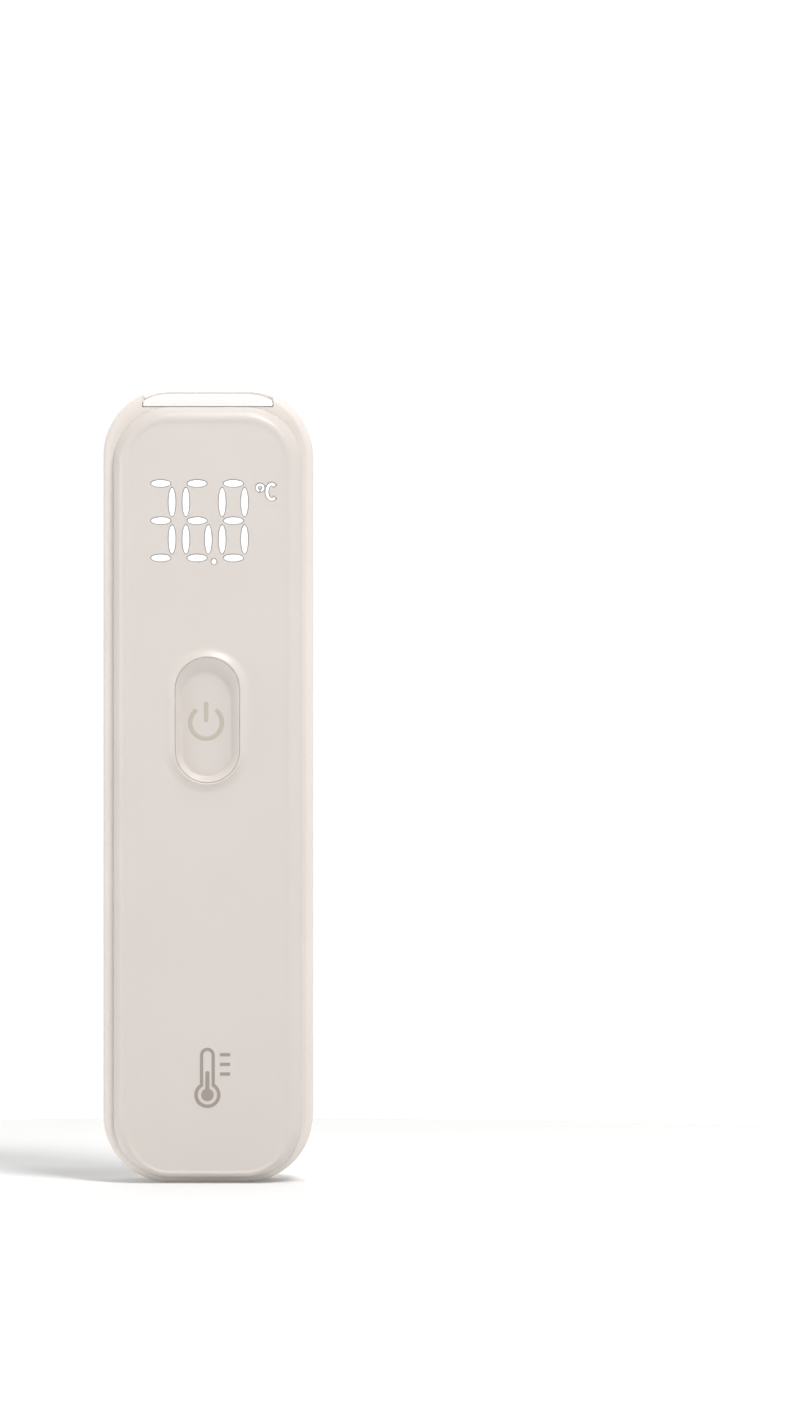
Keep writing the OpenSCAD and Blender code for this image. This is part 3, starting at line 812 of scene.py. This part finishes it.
@dataclass
class Palette:
    """Every finish of the thermometer, made once and handed to the pieces by slot."""

    made: dict[Slot, bpy.types.Material] = field(default_factory=dict)
    # Grey for the chamfer round each lit window: painted shade, standing in for the shadow round the
    # windows.
    painted_window_shade: bpy.types.Material | None = None

    def finishes(self) -> list[Finish]:
        """Lists the finishes.

        Returns:
            One finish for each slot.
        """
        warm = (0.632, 0.584, 0.549)
        return [
            Moulding(Slot.SHELL, (0.735, 0.682, 0.636), roughness=0.46, grain=4200, depth=0.006, use=0.35),
            Moulding(Slot.COVER, warm, roughness=0.42, grain=5600, depth=0.0025, use=0.2, coat=0.2,
                     coat_roughness=0.34, drift=0.35),
            Moulding(Slot.BUTTON, warm, roughness=0.33, grain=6000, depth=0.002, use=0.3, coat=0.3,
                     coat_roughness=0.2, drift=0.3),
            Moulding(Slot.CAP, (0.85, 0.845, 0.83), roughness=0.16, grain=7000, depth=0.001, use=0.2,
                     coat=0.8, coat_roughness=0.06, spread=0.05),
            Moulding(Slot.PRINT, (0.33, 0.29, 0.265), roughness=0.55, grain=9000, depth=0.003, use=0.4),
            Moulding(Slot.ICON, (0.50, 0.468, 0.40), roughness=0.5, grain=9000, depth=0.002, use=0.3),
            Moulding(Slot.BLACK, (0.035, 0.035, 0.04), roughness=0.5, depth=0.008, grain=3500, use=0.5),
            Moulding(Slot.PLUNGER, (0.55, 0.53, 0.5), roughness=0.4, use=0.3),
            Moulding(Slot.REFLECTOR, (0.84, 0.84, 0.83), roughness=0.55, depth=0.006, use=0.15),
            Moulding(Slot.LED, (0.85, 0.76, 0.38), roughness=0.2, coat=0.6, grain=9000, depth=0.001),
            SolderMask(Slot.BOARD),
            Metal(Slot.STEEL, (0.60, 0.60, 0.59)),
            Metal(Slot.CAN, (0.70, 0.69, 0.67), roughness=0.14, tarnish=0.15, depth=0.001),
            Metal(Slot.HOLDER, (0.72, 0.73, 0.74), roughness=0.3, streaks=5200, tarnish=0.1),
            Moulding(Slot.CHIPS, (0.50, 0.38, 0.23), roughness=0.35, drift=1.0, depth=0.004),
            Moulding(Slot.RUBBER, (0.04, 0.04, 0.042), roughness=0.75, depth=0.012, grain=2600, use=0.6),
            Moulding(Slot.FOAM, (0.07, 0.07, 0.075), roughness=0.95, depth=0.09, grain=1500, use=0.2),
            Metal(Slot.FILTER, (0.12, 0.10, 0.16), roughness=0.06, tarnish=0.2, depth=0.0005),
            Metal(Slot.GOLD, (0.83, 0.62, 0.28), roughness=0.2, tarnish=0.2, depth=0.001),
            Moulding(Slot.RIBBON, (0.52, 0.30, 0.09), roughness=0.25, coat=0.5, drift=1.0, depth=0.003),
            CellSleeve(Slot.CELL),
            Moulding(Slot.WIRE, (0.42, 0.035, 0.03), roughness=0.35, coat=0.3, depth=0.003),
            LabelFilm(Slot.LABEL),
            Glow(Slot.LIT),
        ]

    def build(self) -> None:
        """Makes every material."""
        for finish in self.finishes():
            self.made[finish.slot] = finish.make()
        # The chamfers round the lit windows get a plain grey of painted shade, in place of the shadow that
        # the glow washes out.
        self.painted_window_shade = Moulding(Slot.PRINT, (0.33, 0.32, 0.31), roughness=0.5).make("painted_window_shade")
        log.info("%d finishes made", len(self.made))

    def __getitem__(self, slot: Slot) -> bpy.types.Material:
        """Material of a slot."""
        return self.made[slot]


# ---------------------------------------------------------------- display glyphs


@dataclass(frozen=True)
class Lozenge:
    """Elliptical segment, or a round point."""

    x: float
    z: float
    half_w: float
    half_l: float

    def outline(self, grow: float) -> Outline:
        """Outline of the segment.

        Args:
            grow: How far it is spread outwards.

        Returns:
            Its points, anticlockwise as seen from the front.
        """
        steps = 36 if self.half_l != self.half_w else 20
        angles = [2 * math.pi * i / steps for i in range(steps)]
        return [(self.x + (self.half_w + grow) * math.cos(a), self.z + (self.half_l + grow) * math.sin(a))
                for a in angles]


@dataclass(frozen=True)
class Hook:
    """Open elliptical stroke, as in the degree ring and the C."""

    x: float
    z: float
    rx: float
    rz: float
    stroke: float
    start: float
    end: float

    def outline(self, grow: float) -> Outline:
        """Outline of the stroke.

        Args:
            grow: How far it is spread outwards.

        Returns:
            Its points, along the outside and back along the inside.
        """
        steps = 24
        turn = math.degrees(grow / self.rx)
        angles = [math.radians(lerp(self.start - turn, self.end + turn, i / steps))
                  for i in range(steps + 1)]
        outer = [(self.x + (self.rx + grow) * math.cos(a), self.z + (self.rz + grow) * math.sin(a))
                 for a in angles]
        inset = self.stroke + grow
        inner = [(self.x + (self.rx - inset) * math.cos(a), self.z + (self.rz - inset) * math.sin(a))
                 for a in reversed(angles)]
        return outer + inner


@dataclass(frozen=True)
class Readout:
    """The lit reading: three seven-segment digits, a point, a degree ring and a C."""

    middle: float = 116.6
    first: float = -8.2
    pitch: float = 6.38
    half: float = 1.97
    rise: float = 6.55
    segment_w: float = 1.2
    segment_l: float = 5.0
    lying_l: float = 3.4
    lit: tuple[str, ...] = ("abcdg", "acdefg", "abcdefg")
    point: Lozenge = Lozenge(-3.4, -7.2, 0.45, 0.45)
    degree: Hook = Hook(4.7, 5.8, 0.75, 0.75, 0.35, -80, 260)
    unit: Hook = Hook(6.75, 5.1, 1.1, 1.6, 0.5, 50, 310)

    def glyphs(self) -> list[Lozenge | Hook]:
        """Lays out every lit shape.

        Returns:
            The shapes in plan.
        """
        half_w, stand, lie = self.segment_w / 2, self.segment_l / 2, self.lying_l / 2
        spots = {
            "a": (0, self.rise), "b": (self.half, self.rise / 2), "c": (self.half, -self.rise / 2),
            "d": (0, -self.rise), "e": (-self.half, -self.rise / 2), "f": (-self.half, self.rise / 2),
            "g": (0, 0),
        }
        shapes: list[Lozenge | Hook] = []
        for digit, letters in enumerate(self.lit):
            for letter in letters:
                dx, dz = spots[letter]
                x, z = self.first + digit * self.pitch + dx, self.middle + dz
                lying = letter in "adg"
                shapes.append(Lozenge(x, z, lie if lying else half_w, half_w if lying else stand))
        last = self.first + (len(self.lit) - 1) * self.pitch
        for mark in (self.point, self.degree, self.unit):
            shapes.append(replace(mark, x=last + mark.x, z=self.middle + mark.z))
        return shapes


# ---------------------------------------------------------------- sub-assemblies


@dataclass
class SubAssembly:
    """A group of pieces, of which those listed in FINISHES show their frame meshes."""

    FINISHES: ClassVar[dict[Slot, tuple[str, ...]]] = {}

    palette: Palette

    def build(self) -> None:
        """Gives the frame meshes of the group their finishes."""
        for slot, nodes in self.FINISHES.items():
            dress(self.palette[slot], *nodes)


class Casing(SubAssembly):
    """The two shells, the battery door, the screws and the label."""

    FINISHES = {
        Slot.SHELL: ("rear_shell", "front_shell", "battery_door"),
        Slot.LABEL: ("rating_label",),
        Slot.STEEL: ("case_screws",),
    }

    def build(self) -> None:
        """Finishes the casing and rounds the edges of its mouldings, with the sensor cap's."""
        super().build()
        soften(*self.FINISHES[Slot.SHELL], "sensor_cap")


@dataclass
class FaceCover(SubAssembly):
    """Raised cover over the whole face, with the blended lip round the button.

    Attributes:
        readout: The lit shapes that get a window each.
        button_z: Middle of the button's hole.
        hole_r: Radius of the hole's round ends.
        hole_run: Half length of its straight sides.
        corner_r: Corner radius of the cover's plan.
        edge_r: Width of the round outer edge.
        edge_start: Angle in degrees at which its arc starts, above a plain upright foot.
        foot_h: Height of that foot.
        foot_share: Share of every inset that the lower end of the plan takes.
        bead_h: Rise of the bead inside the edge.
        bead_w: Width of the bead's inner slope.
        wall: Thickness of the cover.
        lip_h: Rise of the lip above the face.
        lip_crest: Distance of its crest from the hole.
        lip_reach: Distance from the hole at which its slope starts.
        lip_round: Radius of its inner edge.
        lip_flare: Power of the slope's curve, where 1 is straight.
        margin: Width of the flat band that is added outside edge and lip.
        ledge: What the inside is narrower by than the wall alone makes it.
        chamfer: Width and depth of the chamfer round each window.
        edge_steps: Pieces in the edge's arc.
        bead_steps: Pieces in the bead's slope.
        slope_steps: Pieces in the lip's slope.
        round_steps: Pieces in the lip's inner edge.
        seam: Distance under which points are joined.
    """

    FINISHES = {Slot.PRINT: ("face_mark",)}

    readout: Readout
    button_z: float = 81.5
    hole_r: float = 5.65
    hole_run: float = 5.35
    corner_r: float = 9.9
    edge_r: float = 2.2
    edge_start: float = 58.0
    foot_h: float = 0.68
    foot_share: float = 0.45
    bead_h: float = 0.17
    bead_w: float = 1.0
    wall: float = 1.3
    lip_h: float = 0.7
    lip_crest: float = 0.3
    lip_reach: float = 1.9
    lip_round: float = 0.28
    lip_flare: float = 1.6
    margin: float = 0.2
    ledge: float = 0.5
    chamfer: float = 0.19
    edge_steps: int = 14
    bead_steps: int = 6
    slope_steps: int = 12
    round_steps: int = 5
    seam: float = 0.0005

    def levels(self) -> tuple[float, float, float]:
        """Reads the frame's levels.

        Returns:
            Heights of the deck, of the cover's inside and of the face, in millimetres.
        """
        deck = -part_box("face_cover")[1].y / MM
        face = -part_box("segment_lens")[0].y / MM
        return deck, face - self.wall, face

    def plan(self, inset: float) -> Outline:
        """Outline of the cover.

        Args:
            inset: How far it is drawn in; at the foot it is drawn in less.

        Returns:
            Its points, anticlockwise as seen from the front.
        """
        lo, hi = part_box("face_cover")
        foot = lo.z / MM + inset * self.foot_share
        return rounded(hi.x / MM - inset, foot, hi.z / MM - inset, self.corner_r - inset)

    def hole(self, outset: float) -> Outline:
        """Outline of the button's hole, spread by outset."""
        return pill(0, self.button_z, self.hole_r + outset, self.hole_run)

    def edge_rings(self, deck: float, face: float) -> list[Ring]:
        """Rings of the round edge and of the bead inside it.

        Args:
            deck: Height of the deck that the cover stands on.
            face: Height of its flat face.

        Returns:
            Outline and height of each ring, from the deck up to the face.
        """
        start = math.radians(self.edge_start)
        shoulder, crest = deck + self.foot_h, face + self.bead_h
        rings = [(self.plan(0), deck)]
        for i in range(self.edge_steps + 1):
            a = lerp(start, math.pi / 2, i / self.edge_steps)
            inset = self.edge_r * (1 - math.cos(a) / math.cos(start))
            rise = (math.sin(a) - math.sin(start)) / (1 - math.sin(start))
            rings.append((self.plan(inset), lerp(shoulder, crest, rise)))
        for i in range(1, self.bead_steps + 1):
            t = i / self.bead_steps
            rings.append((self.plan(self.edge_r + self.bead_w * t), lerp(crest, face, ease(t))))
        rings.append((self.plan(self.edge_r + self.bead_w + self.margin), face))
        return rings

    def lip_rings(self, inside: float, face: float) -> list[Ring]:
        """Rings of the lip.

        Args:
            inside: Height of the cover's inside.
            face: Height of its flat face.

        Returns:
            Outline and height of each ring, from the face over the crest and down the hole.
        """
        crest = face + self.lip_h
        rings = [(self.hole(self.lip_reach + self.margin), face)]
        for i in range(self.slope_steps + 1):
            t = i / self.slope_steps
            rings.append((self.hole(lerp(self.lip_reach, self.lip_crest, t)),
                          lerp(face, crest, t ** self.lip_flare)))
        for i in range(1, self.round_steps + 1):
            a = math.pi / 2 * i / self.round_steps
            outset = self.lip_round * (1 - math.sin(a))
            rings.append((self.hole(outset), crest - self.lip_round * (1 - math.cos(a))))
        rings.append((self.hole(0), inside))
        return rings

    def build(self) -> None:
        """Builds the cover with a through window for every lit shape."""
        super().build()
        deck, inside, face = self.levels()
        loft = Loft()
        edge = loft.column(self.edge_rings(deck, face))
        lip = loft.column(self.lip_rings(inside, face))
        mouth = self.plan(self.wall + self.ledge)
        pocket = loft.column([(self.plan(0), deck), (mouth, deck), (mouth, inside)])
        loft.bridge([pocket[0], edge[0]])
        tops, bottoms = [], []
        for glyph in self.readout.glyphs():
            shape = glyph.outline(0)
            # The chamfer round each window takes the second material, a grey outline of painted shade.
            loft.paint = 1
            brim = loft.column([(glyph.outline(self.chamfer), face), (shape, face - self.chamfer)])
            loft.paint = 0
            wall = loft.ring(shape, inside)
            loft.bridge([brim[1], wall])
            tops.append(brim[0])
            bottoms.append(wall)
        loft.cap(edge[-1], lip[0], *tops)
        loft.cap(pocket[-1], lip[-1], *bottoms)
        bmesh.ops.remove_doubles(loft.bm, verts=loft.bm.verts[:], dist=self.seam * MM)
        # The second material is the painted shade on the window chamfers.
        cover = loft.piece("moulded_face_cover", self.palette[Slot.COVER], self.palette.painted_window_shade)
        place(cover, Body.ROOT, Slot.COVER, "face_cover")


@dataclass
class PowerButton(SubAssembly):
    """Thumb button: hollow cap with a flange, a pusher and a dish that leans to the foot.

    STROKE is the profile of the printed symbol: shares of its half width and of its rise.

    Attributes:
        centre: Middle of the cap along the length.
        r: Radius of its round ends.
        run: Half length of its straight sides.
        flange: What the flange stands out by.
        flange_t: Thickness of the flange.
        skirt: Thickness of the hollow cap's wall.
        edge: Radius of the rim's outer edge.
        rim_in: Width of the rim.
        roof: Height of the hollow's roof.
        floor_h: Height of the dish's floor at its border.
        floor_r: Radius of the floor's round ends.
        wall_end: Share of the wall's width that runs straight.
        floor_run: Half length of the floor's straight sides.
        lean: How far the floor lies aside and towards the foot.
        sag: Depth of the floor's middle below its border.
        pusher_r: Radius of the pusher.
        pusher_run: Half length of its sides, nearly nothing, so that it is round.
        pusher_h: Height of its free end.
        icon_z: Middle of the symbol's ring.
        icon_r: Radius of the ring's middle line.
        icon_half: Half width of the strokes.
        icon_gap: Half of the ring's opening in degrees, up to the round ends.
        bar_top: Upper end of the bar above the ring's middle.
        icon_rise: Thickness of the print.
        sunk: Overlap of print and pusher with the cap.
        rim_steps: Pieces in the rim's edge.
        wall_steps: Pieces in the dish's wall.
        floor_steps: Pieces in the floor, from border to middle.
        end_steps: Pieces in a stroke's round end.
        ring_steps: Pieces in the symbol's ring.
        bar_steps: Pieces in the symbol's bar.
    """

    STROKE: ClassVar[tuple[Point, ...]] = ((-1, 0), (-0.9, 1), (-0.3, 1), (0.3, 1), (0.9, 1), (1, 0))

    centre: float = 81.5
    r: float = 5.63
    run: float = 5.35
    flange: float = 0.85
    flange_t: float = 0.8
    skirt: float = 1.35
    edge: float = 0.1
    rim_in: float = 0.1
    roof: float = 8.0
    floor_h: float = 8.75
    floor_r: float = 4.18
    wall_end: float = 0.8
    floor_run: float = 4.75
    lean: Point = (-0.25, -0.85)
    sag: float = 0.15
    pusher_r: float = 1.9
    pusher_run: float = 0.001
    pusher_h: float = 6.32
    icon_z: float = 81.1
    icon_r: float = 2.8
    icon_half: float = 0.39
    icon_gap: float = 35.0
    bar_top: float = 3.7
    icon_rise: float = 0.03
    sunk: float = 0.1
    rim_steps: int = 5
    wall_steps: int = 14
    floor_steps: int = 12
    end_steps: int = 6
    ring_steps: int = 60
    bar_steps: int = 10

    def outline(self, outset: float) -> Outline:
        """Outline of the cap, spread by outset."""
        return pill(0, self.centre, self.r + outset, self.run)

    def dish(self, x: float, z: float) -> float:
        """Height of the dish's floor.

        Args:
            x: Place across.
            z: Place along the length.

        Returns:
            The height, lowest along the middle of the dish.
        """
        axis = self.centre + self.lean[1]
        past = max(abs(z - axis) - self.floor_run, 0.0)
        away = math.hypot(x - self.lean[0], past) / self.floor_r
        return self.floor_h - self.sag * (1 - min(away, 1.0) ** 2)

    def drop(self, t: float) -> float:
        """Slope of the dish's wall, which runs straight and then blends into the floor.

        Args:
            t: Share of the wall's width, from the rim.

        Returns:
            Share of the wall's depth that is reached there.
        """
        steep = 2 / (1 + self.wall_end)
        if t < self.wall_end:
            return steep * t
        return 1 - steep * (1 - t) ** 2 / (2 * (1 - self.wall_end))

    def rings(self, base: float, top: float) -> list[Ring]:
        """Rings of the cap.

        Args:
            base: Height of the underside of the flange.
            top: Height of the rim.

        Returns:
            Outline and height of each ring, from the inside round the flange and rim into the dish.
        """
        shelf = base + self.flange_t
        rings = [(self.outline(-self.skirt), self.roof), (self.outline(-self.skirt), base),
                 (self.outline(self.flange), base), (self.outline(self.flange), shelf),
                 (self.outline(0), shelf)]
        for i in range(self.rim_steps + 1):
            a = math.pi / 2 * i / self.rim_steps
            rings.append((self.outline(self.edge * (math.cos(a) - 1)), top + self.edge * (math.sin(a) - 1)))
        for i in range(self.wall_steps + 1):
            t = i / self.wall_steps
            radius, run = lerp(self.r - self.rim_in, self.floor_r, t), lerp(self.run, self.floor_run, t)
            spot = pill(self.lean[0] * t, self.centre + self.lean[1] * t, radius, run)
            rings.append((spot, lerp(top, self.floor_h, self.drop(t))))
        for i in range(1, self.floor_steps):
            radius = self.floor_r * (1 - i / self.floor_steps)
            spot = pill(self.lean[0], self.centre + self.lean[1], radius, self.floor_run)
            rings.append((spot, self.dish))
        return rings

    def stroke(self, loft: Loft, line: Outline, half: float) -> None:
        """Adds a printed stroke with round ends that follows the dish.

        Args:
            loft: The mesh that it joins.
            line: Its centre line, whose ends lie half a stroke inside the printed ends.
            half: Half of its width.
        """
        shares = [i / self.end_steps for i in range(1, self.end_steps)]
        first, last = line[0], line[-1]
        lead = (first[0] - line[1][0], first[1] - line[1][1])
        tail = (last[0] - line[-2][0], last[1] - line[-2][1])
        stations: list[tuple[Point, Point, float]] = []
        for share in shares:
            stations.append((self.beyond(first, lead, half * (1 - share)), lead,
                             half * math.sqrt(1 - (1 - share) ** 2)))
        for i, spot in enumerate(line):
            a, b = line[max(i - 1, 0)], line[min(i + 1, len(line) - 1)]
            stations.append((spot, (a[0] - b[0], a[1] - b[1]), half))
        for share in shares:
            stations.append((self.beyond(last, tail, half * share), (-tail[0], -tail[1]),
                             half * math.sqrt(1 - share ** 2)))
        rows = []
        for (x, z), (dx, dz), reach in stations:
            size = math.hypot(dx, dz)
            nx, nz = -dz / size * reach, dx / size * reach
            row = [(x + nx * k, z + nz * k) for k, _ in self.STROKE]
            verts = [loft.ring([spot], lambda px, pz: self.dish(px, pz) + self.icon_rise * up)[0]
                     for spot, (_, up) in zip(row, self.STROKE)]
            under = loft.ring([row[-1], row[0]], lambda px, pz: self.dish(px, pz) - self.sunk)
            rows.append(verts + under)
        loft.bridge(rows)
        loft.bm.faces.new(rows[0])
        loft.bm.faces.new(rows[-1])

    @staticmethod
    def beyond(spot: Point, way: Point, reach: float) -> Point:
        """Point that lies reach beyond spot in the direction of way."""
        size = math.hypot(*way)
        return spot[0] + way[0] / size * reach, spot[1] + way[1] / size * reach

    def build(self) -> None:
        """Builds the cap and its printed standby symbol."""
        lo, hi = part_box("power_button")
        base, top = -hi.y / MM, -lo.y / MM
        loft = Loft()
        loft.solid(self.rings(base, top))
        pusher = pill(0, self.centre, self.pusher_r, self.pusher_run)
        loft.solid([(pusher, self.pusher_h), (pusher, self.roof + self.sunk)])
        cap = loft.piece("thumb_button", self.palette[Slot.BUTTON])
        place(cap, Body.BUTTON, Slot.BUTTON, "power_button")
        icon = Loft()
        turn = self.icon_gap + math.degrees(self.icon_half / self.icon_r)
        ring = [math.radians(lerp(90 + turn, 450 - turn, i / self.ring_steps))
                for i in range(self.ring_steps + 1)]
        arc = [(self.lean[0] + self.icon_r * math.cos(a), self.icon_z + self.icon_r * math.sin(a))
               for a in ring]
        rises = [lerp(self.icon_half, self.bar_top - self.icon_half, i / self.bar_steps)
                 for i in range(self.bar_steps + 1)]
        self.stroke(icon, arc, self.icon_half)
        self.stroke(icon, [(self.lean[0], self.icon_z + rise) for rise in rises], self.icon_half)
        place(icon.piece("standby_symbol", self.palette[Slot.ICON]), Body.BUTTON, Slot.ICON, "power_icon")


@dataclass
class Display(SubAssembly):
    """Light guide with its glowing segments, the reflector under it and the lamps.

    Attributes:
        readout: The lit shapes.
        fit: Gap round a segment in its window.
        crown: How far in and how far below the face each ring of a segment's top lies.
        plate_r: Corner radius of the guide's plate.
        plate_t: What the plate stands above the reflector by.
        bevel: Width of the plate's bevels.
        corner_steps: Pieces in each of its corners.
    """

    FINISHES = {Slot.REFLECTOR: ("display_reflector",), Slot.LED: ("display_leds",)}

    readout: Readout
    fit: float = 0.03
    crown: tuple[Point, ...] = ((0.0, 0.12), (0.05, 0.07), (0.12, 0.04))
    plate_r: float = 0.6
    plate_t: float = 0.7
    bevel: float = 0.1
    corner_steps: int = 6

    def build(self) -> None:
        """Builds the light guide and finishes what lies under it."""
        super().build()
        lo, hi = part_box("segment_lens")
        face, base = -lo.y / MM, -hi.y / MM
        top = -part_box("display_reflector")[0].y / MM + self.plate_t
        loft = Loft()
        middle = (lo.x + hi.x) / 2 / MM
        half = (hi.x - lo.x) / 2 / MM

        def plate(inset: float) -> Outline:
            """Outline of the guide's plate.

            Args:
                inset: How far it is drawn in.

            Returns:
                Its points, anticlockwise as seen from the front.
            """
            flat = rounded(half - inset, lo.z / MM + inset, hi.z / MM - inset, self.plate_r - inset,
                           self.corner_steps)
            return [(x + middle, z) for x, z in flat]

        loft.solid([(plate(self.bevel), base), (plate(0), base + self.bevel),
                    (plate(0), top - self.bevel), (plate(self.bevel), top)])
        for glyph in self.readout.glyphs():
            tip = [(glyph.outline(-self.fit - inset), face - depth) for inset, depth in self.crown]
            loft.solid([(glyph.outline(-self.fit), top - self.bevel), *tip])
        guide = loft.piece("lit_light_guide", self.palette[Slot.LIT])
        place(guide, Body.ROOT, Slot.LIT, "segment_lens")


class Electronics(SubAssembly):
    """Main board and what stands on it."""

    FINISHES = {
        Slot.BOARD: ("main_board",),
        Slot.BLACK: ("controller_chip", "buzzer", "tact_switch"),
        Slot.PLUNGER: ("switch_plunger",),
        Slot.STEEL: ("clock_crystal", "board_screws"),
        Slot.CHIPS: ("board_components",),
    }


class SensorEnd(SubAssembly):
    """Glossy cap with the sensing port, and the sensor behind it."""

    FINISHES = {
        Slot.CAP: ("sensor_cap",),
        Slot.RUBBER: ("sensor_gasket",),
        Slot.HOLDER: ("sensor_holder",),
        Slot.CAN: ("sensor_can",),
        Slot.FILTER: ("sensor_filter",),
        Slot.GOLD: ("sensor_pins",),
        Slot.BOARD: ("sensor_board",),
        Slot.RIBBON: ("sensor_ribbon",),
    }


class BatteryBay(SubAssembly):
    """Cells, contacts, leads and the foam of the door."""

    FINISHES = {
        Slot.CELL: ("battery_left", "battery_right"),
        Slot.STEEL: ("battery_springs", "contact_plates", "link_plate"),
        Slot.WIRE: ("battery_leads",),
        Slot.FOAM: ("door_foam",),
    }


# ---------------------------------------------------------------- studio


@dataclass(frozen=True)
class Lamp:
    """Square soft light that looks at the middle of the object, in metres and watts."""

    name: str
    spot: Triple
    size: float
    power: float
    colour: Triple = (1, 1, 1)
    aim: Triple = (0, 0, 0.07)

    def hang(self) -> None:
        """Adds the lamp to the scene."""
        data = bpy.data.lights.new(self.name, "AREA")
        data.shape = "SQUARE"
        data.size = self.size
        data.energy = self.power
        data.color = self.colour
        lamp = bpy.data.objects.new(self.name, data)
        lamp.location = self.spot
        lamp.rotation_euler = (Vector(self.aim) - lamp.location).to_track_quat("-Z", "Y").to_euler()
        bpy.context.scene.collection.objects.link(lamp)


@dataclass
class Studio:
    """Pale floor, soft lights and the camera, in metres."""

    LAMPS: ClassVar[tuple[Lamp, ...]] = (
        Lamp("key", (0.40, -0.66, 1.08), 0.34, 11.3, (1.0, 0.99, 0.975)),
        Lamp("back", (0.0, 0.7, 0.9), 0.6, 1.2),
        Lamp("top_wash", (0.12, -0.15, 1.0), 0.16, 2.3),
        Lamp("left_wash", (-1.0, -0.12, 0.15), 0.16, 1.6),
        Lamp("left_panel", (-1.0, -0.6, 0.25), 0.4, 2.4),
        Lamp("right_panel", (1.0, -0.6, 0.25), 0.4, 1.0),
    )

    floor_r: float = 0.2
    floor_sides: int = 96
    floor_cloud: float = 30.0
    floor_dark: Colour = (0.74, 0.74, 0.736, 1)
    floor_pale: Colour = (0.76, 0.76, 0.76, 1)
    floor_rough: float = 0.8
    floor_shine: float = 0.1
    floor_glow: float = 0.1
    distance: float = 1.35
    view_h: float = 0.2486
    aside: float = 0.033
    eye: float = 0.0848
    sensor: float = 36.0
    clip: Point = (0.01, 20)
    sky_dim: Colour = (0.05, 0.05, 0.052, 1)
    sky_white: Colour = (1.02, 1.02, 1.02, 1)
    sky_behind: Point = (-0.1, 0.6)
    sky_high: Point = (0.04, 0.28)

    def floor(self) -> None:
        """Lays a round pale floor whose tone is a little uneven."""
        bm = bmesh.new()
        bmesh.ops.create_circle(bm, cap_ends=True, cap_tris=True, radius=self.floor_r,
                                segments=self.floor_sides)
        mesh = bpy.data.meshes.new("floor")
        bm.to_mesh(mesh)
        bm.free()
        material = bpy.data.materials.new("pale_floor")
        material.use_nodes = True
        g = Graph(material.node_tree)
        shader = material.node_tree.nodes["Principled BSDF"]
        tones = g.mix(g.noise(self.floor_cloud), self.floor_dark, self.floor_pale)
        g.tree.links.new(tones, shader.inputs["Base Color"])
        for label, value in (("Roughness", self.floor_rough), ("Specular IOR Level", self.floor_shine),
                             ("Emission Color", (1, 1, 1, 1)), ("Emission Strength", self.floor_glow)):
            shader.inputs[label].default_value = value
        mesh.materials.append(material)
        floor = bpy.data.objects.new("floor", mesh)
        bpy.context.scene.collection.objects.link(floor)

    def sky(self) -> None:
        """Makes the pale surround: white behind the object and at eye level, dimmer above its face."""
        world = bpy.data.worlds.new("surround")
        world.use_nodes = True
        g = Graph(world.node_tree)
        way = g.add("SeparateXYZ", {0: g.add("TexCoord").outputs["Generated"]})
        behind = g.ramp(way.outputs[1], *self.sky_behind)
        high = g.ramp(way.outputs[2], *self.sky_high)
        white = g.math("MAXIMUM", behind, g.minus(1.0, high))
        back = world.node_tree.nodes["Background"]
        g.tree.links.new(g.mix(white, self.sky_dim, self.sky_white), back.inputs["Color"])
        bpy.context.scene.world = world

    def camera(self) -> None:
        """Sets the camera square to the face and a little aside."""
        data = bpy.data.cameras.new("camera")
        data.sensor_width = self.sensor
        data.lens = self.sensor * self.distance / self.view_h
        data.clip_start, data.clip_end = self.clip
        camera = bpy.data.objects.new("camera", data)
        camera.location = (self.aside, -self.distance, self.eye)
        camera.rotation_euler = (math.pi / 2, 0, 0)
        bpy.context.scene.collection.objects.link(camera)
        bpy.context.scene.camera = camera

    def build(self) -> None:
        """Builds the studio."""
        self.camera()
        self.floor()
        self.sky()
        for lamp in self.LAMPS:
            lamp.hang()
        bpy.context.scene.view_settings.view_transform = "Standard"
        log.info("studio ready")


def main() -> None:
    """Builds the studio and every sub-assembly."""
    logging.basicConfig(level=logging.INFO, format="%(name)s: %(message)s")
    Studio().build()
    palette = Palette()
    palette.build()
    readout = Readout()
    parts = [Casing(palette), FaceCover(palette, readout), PowerButton(palette), Display(palette, readout),
             Electronics(palette), SensorEnd(palette), BatteryBay(palette)]
    for part in parts:
        part.build()


if __name__ == "__main__":
    main()
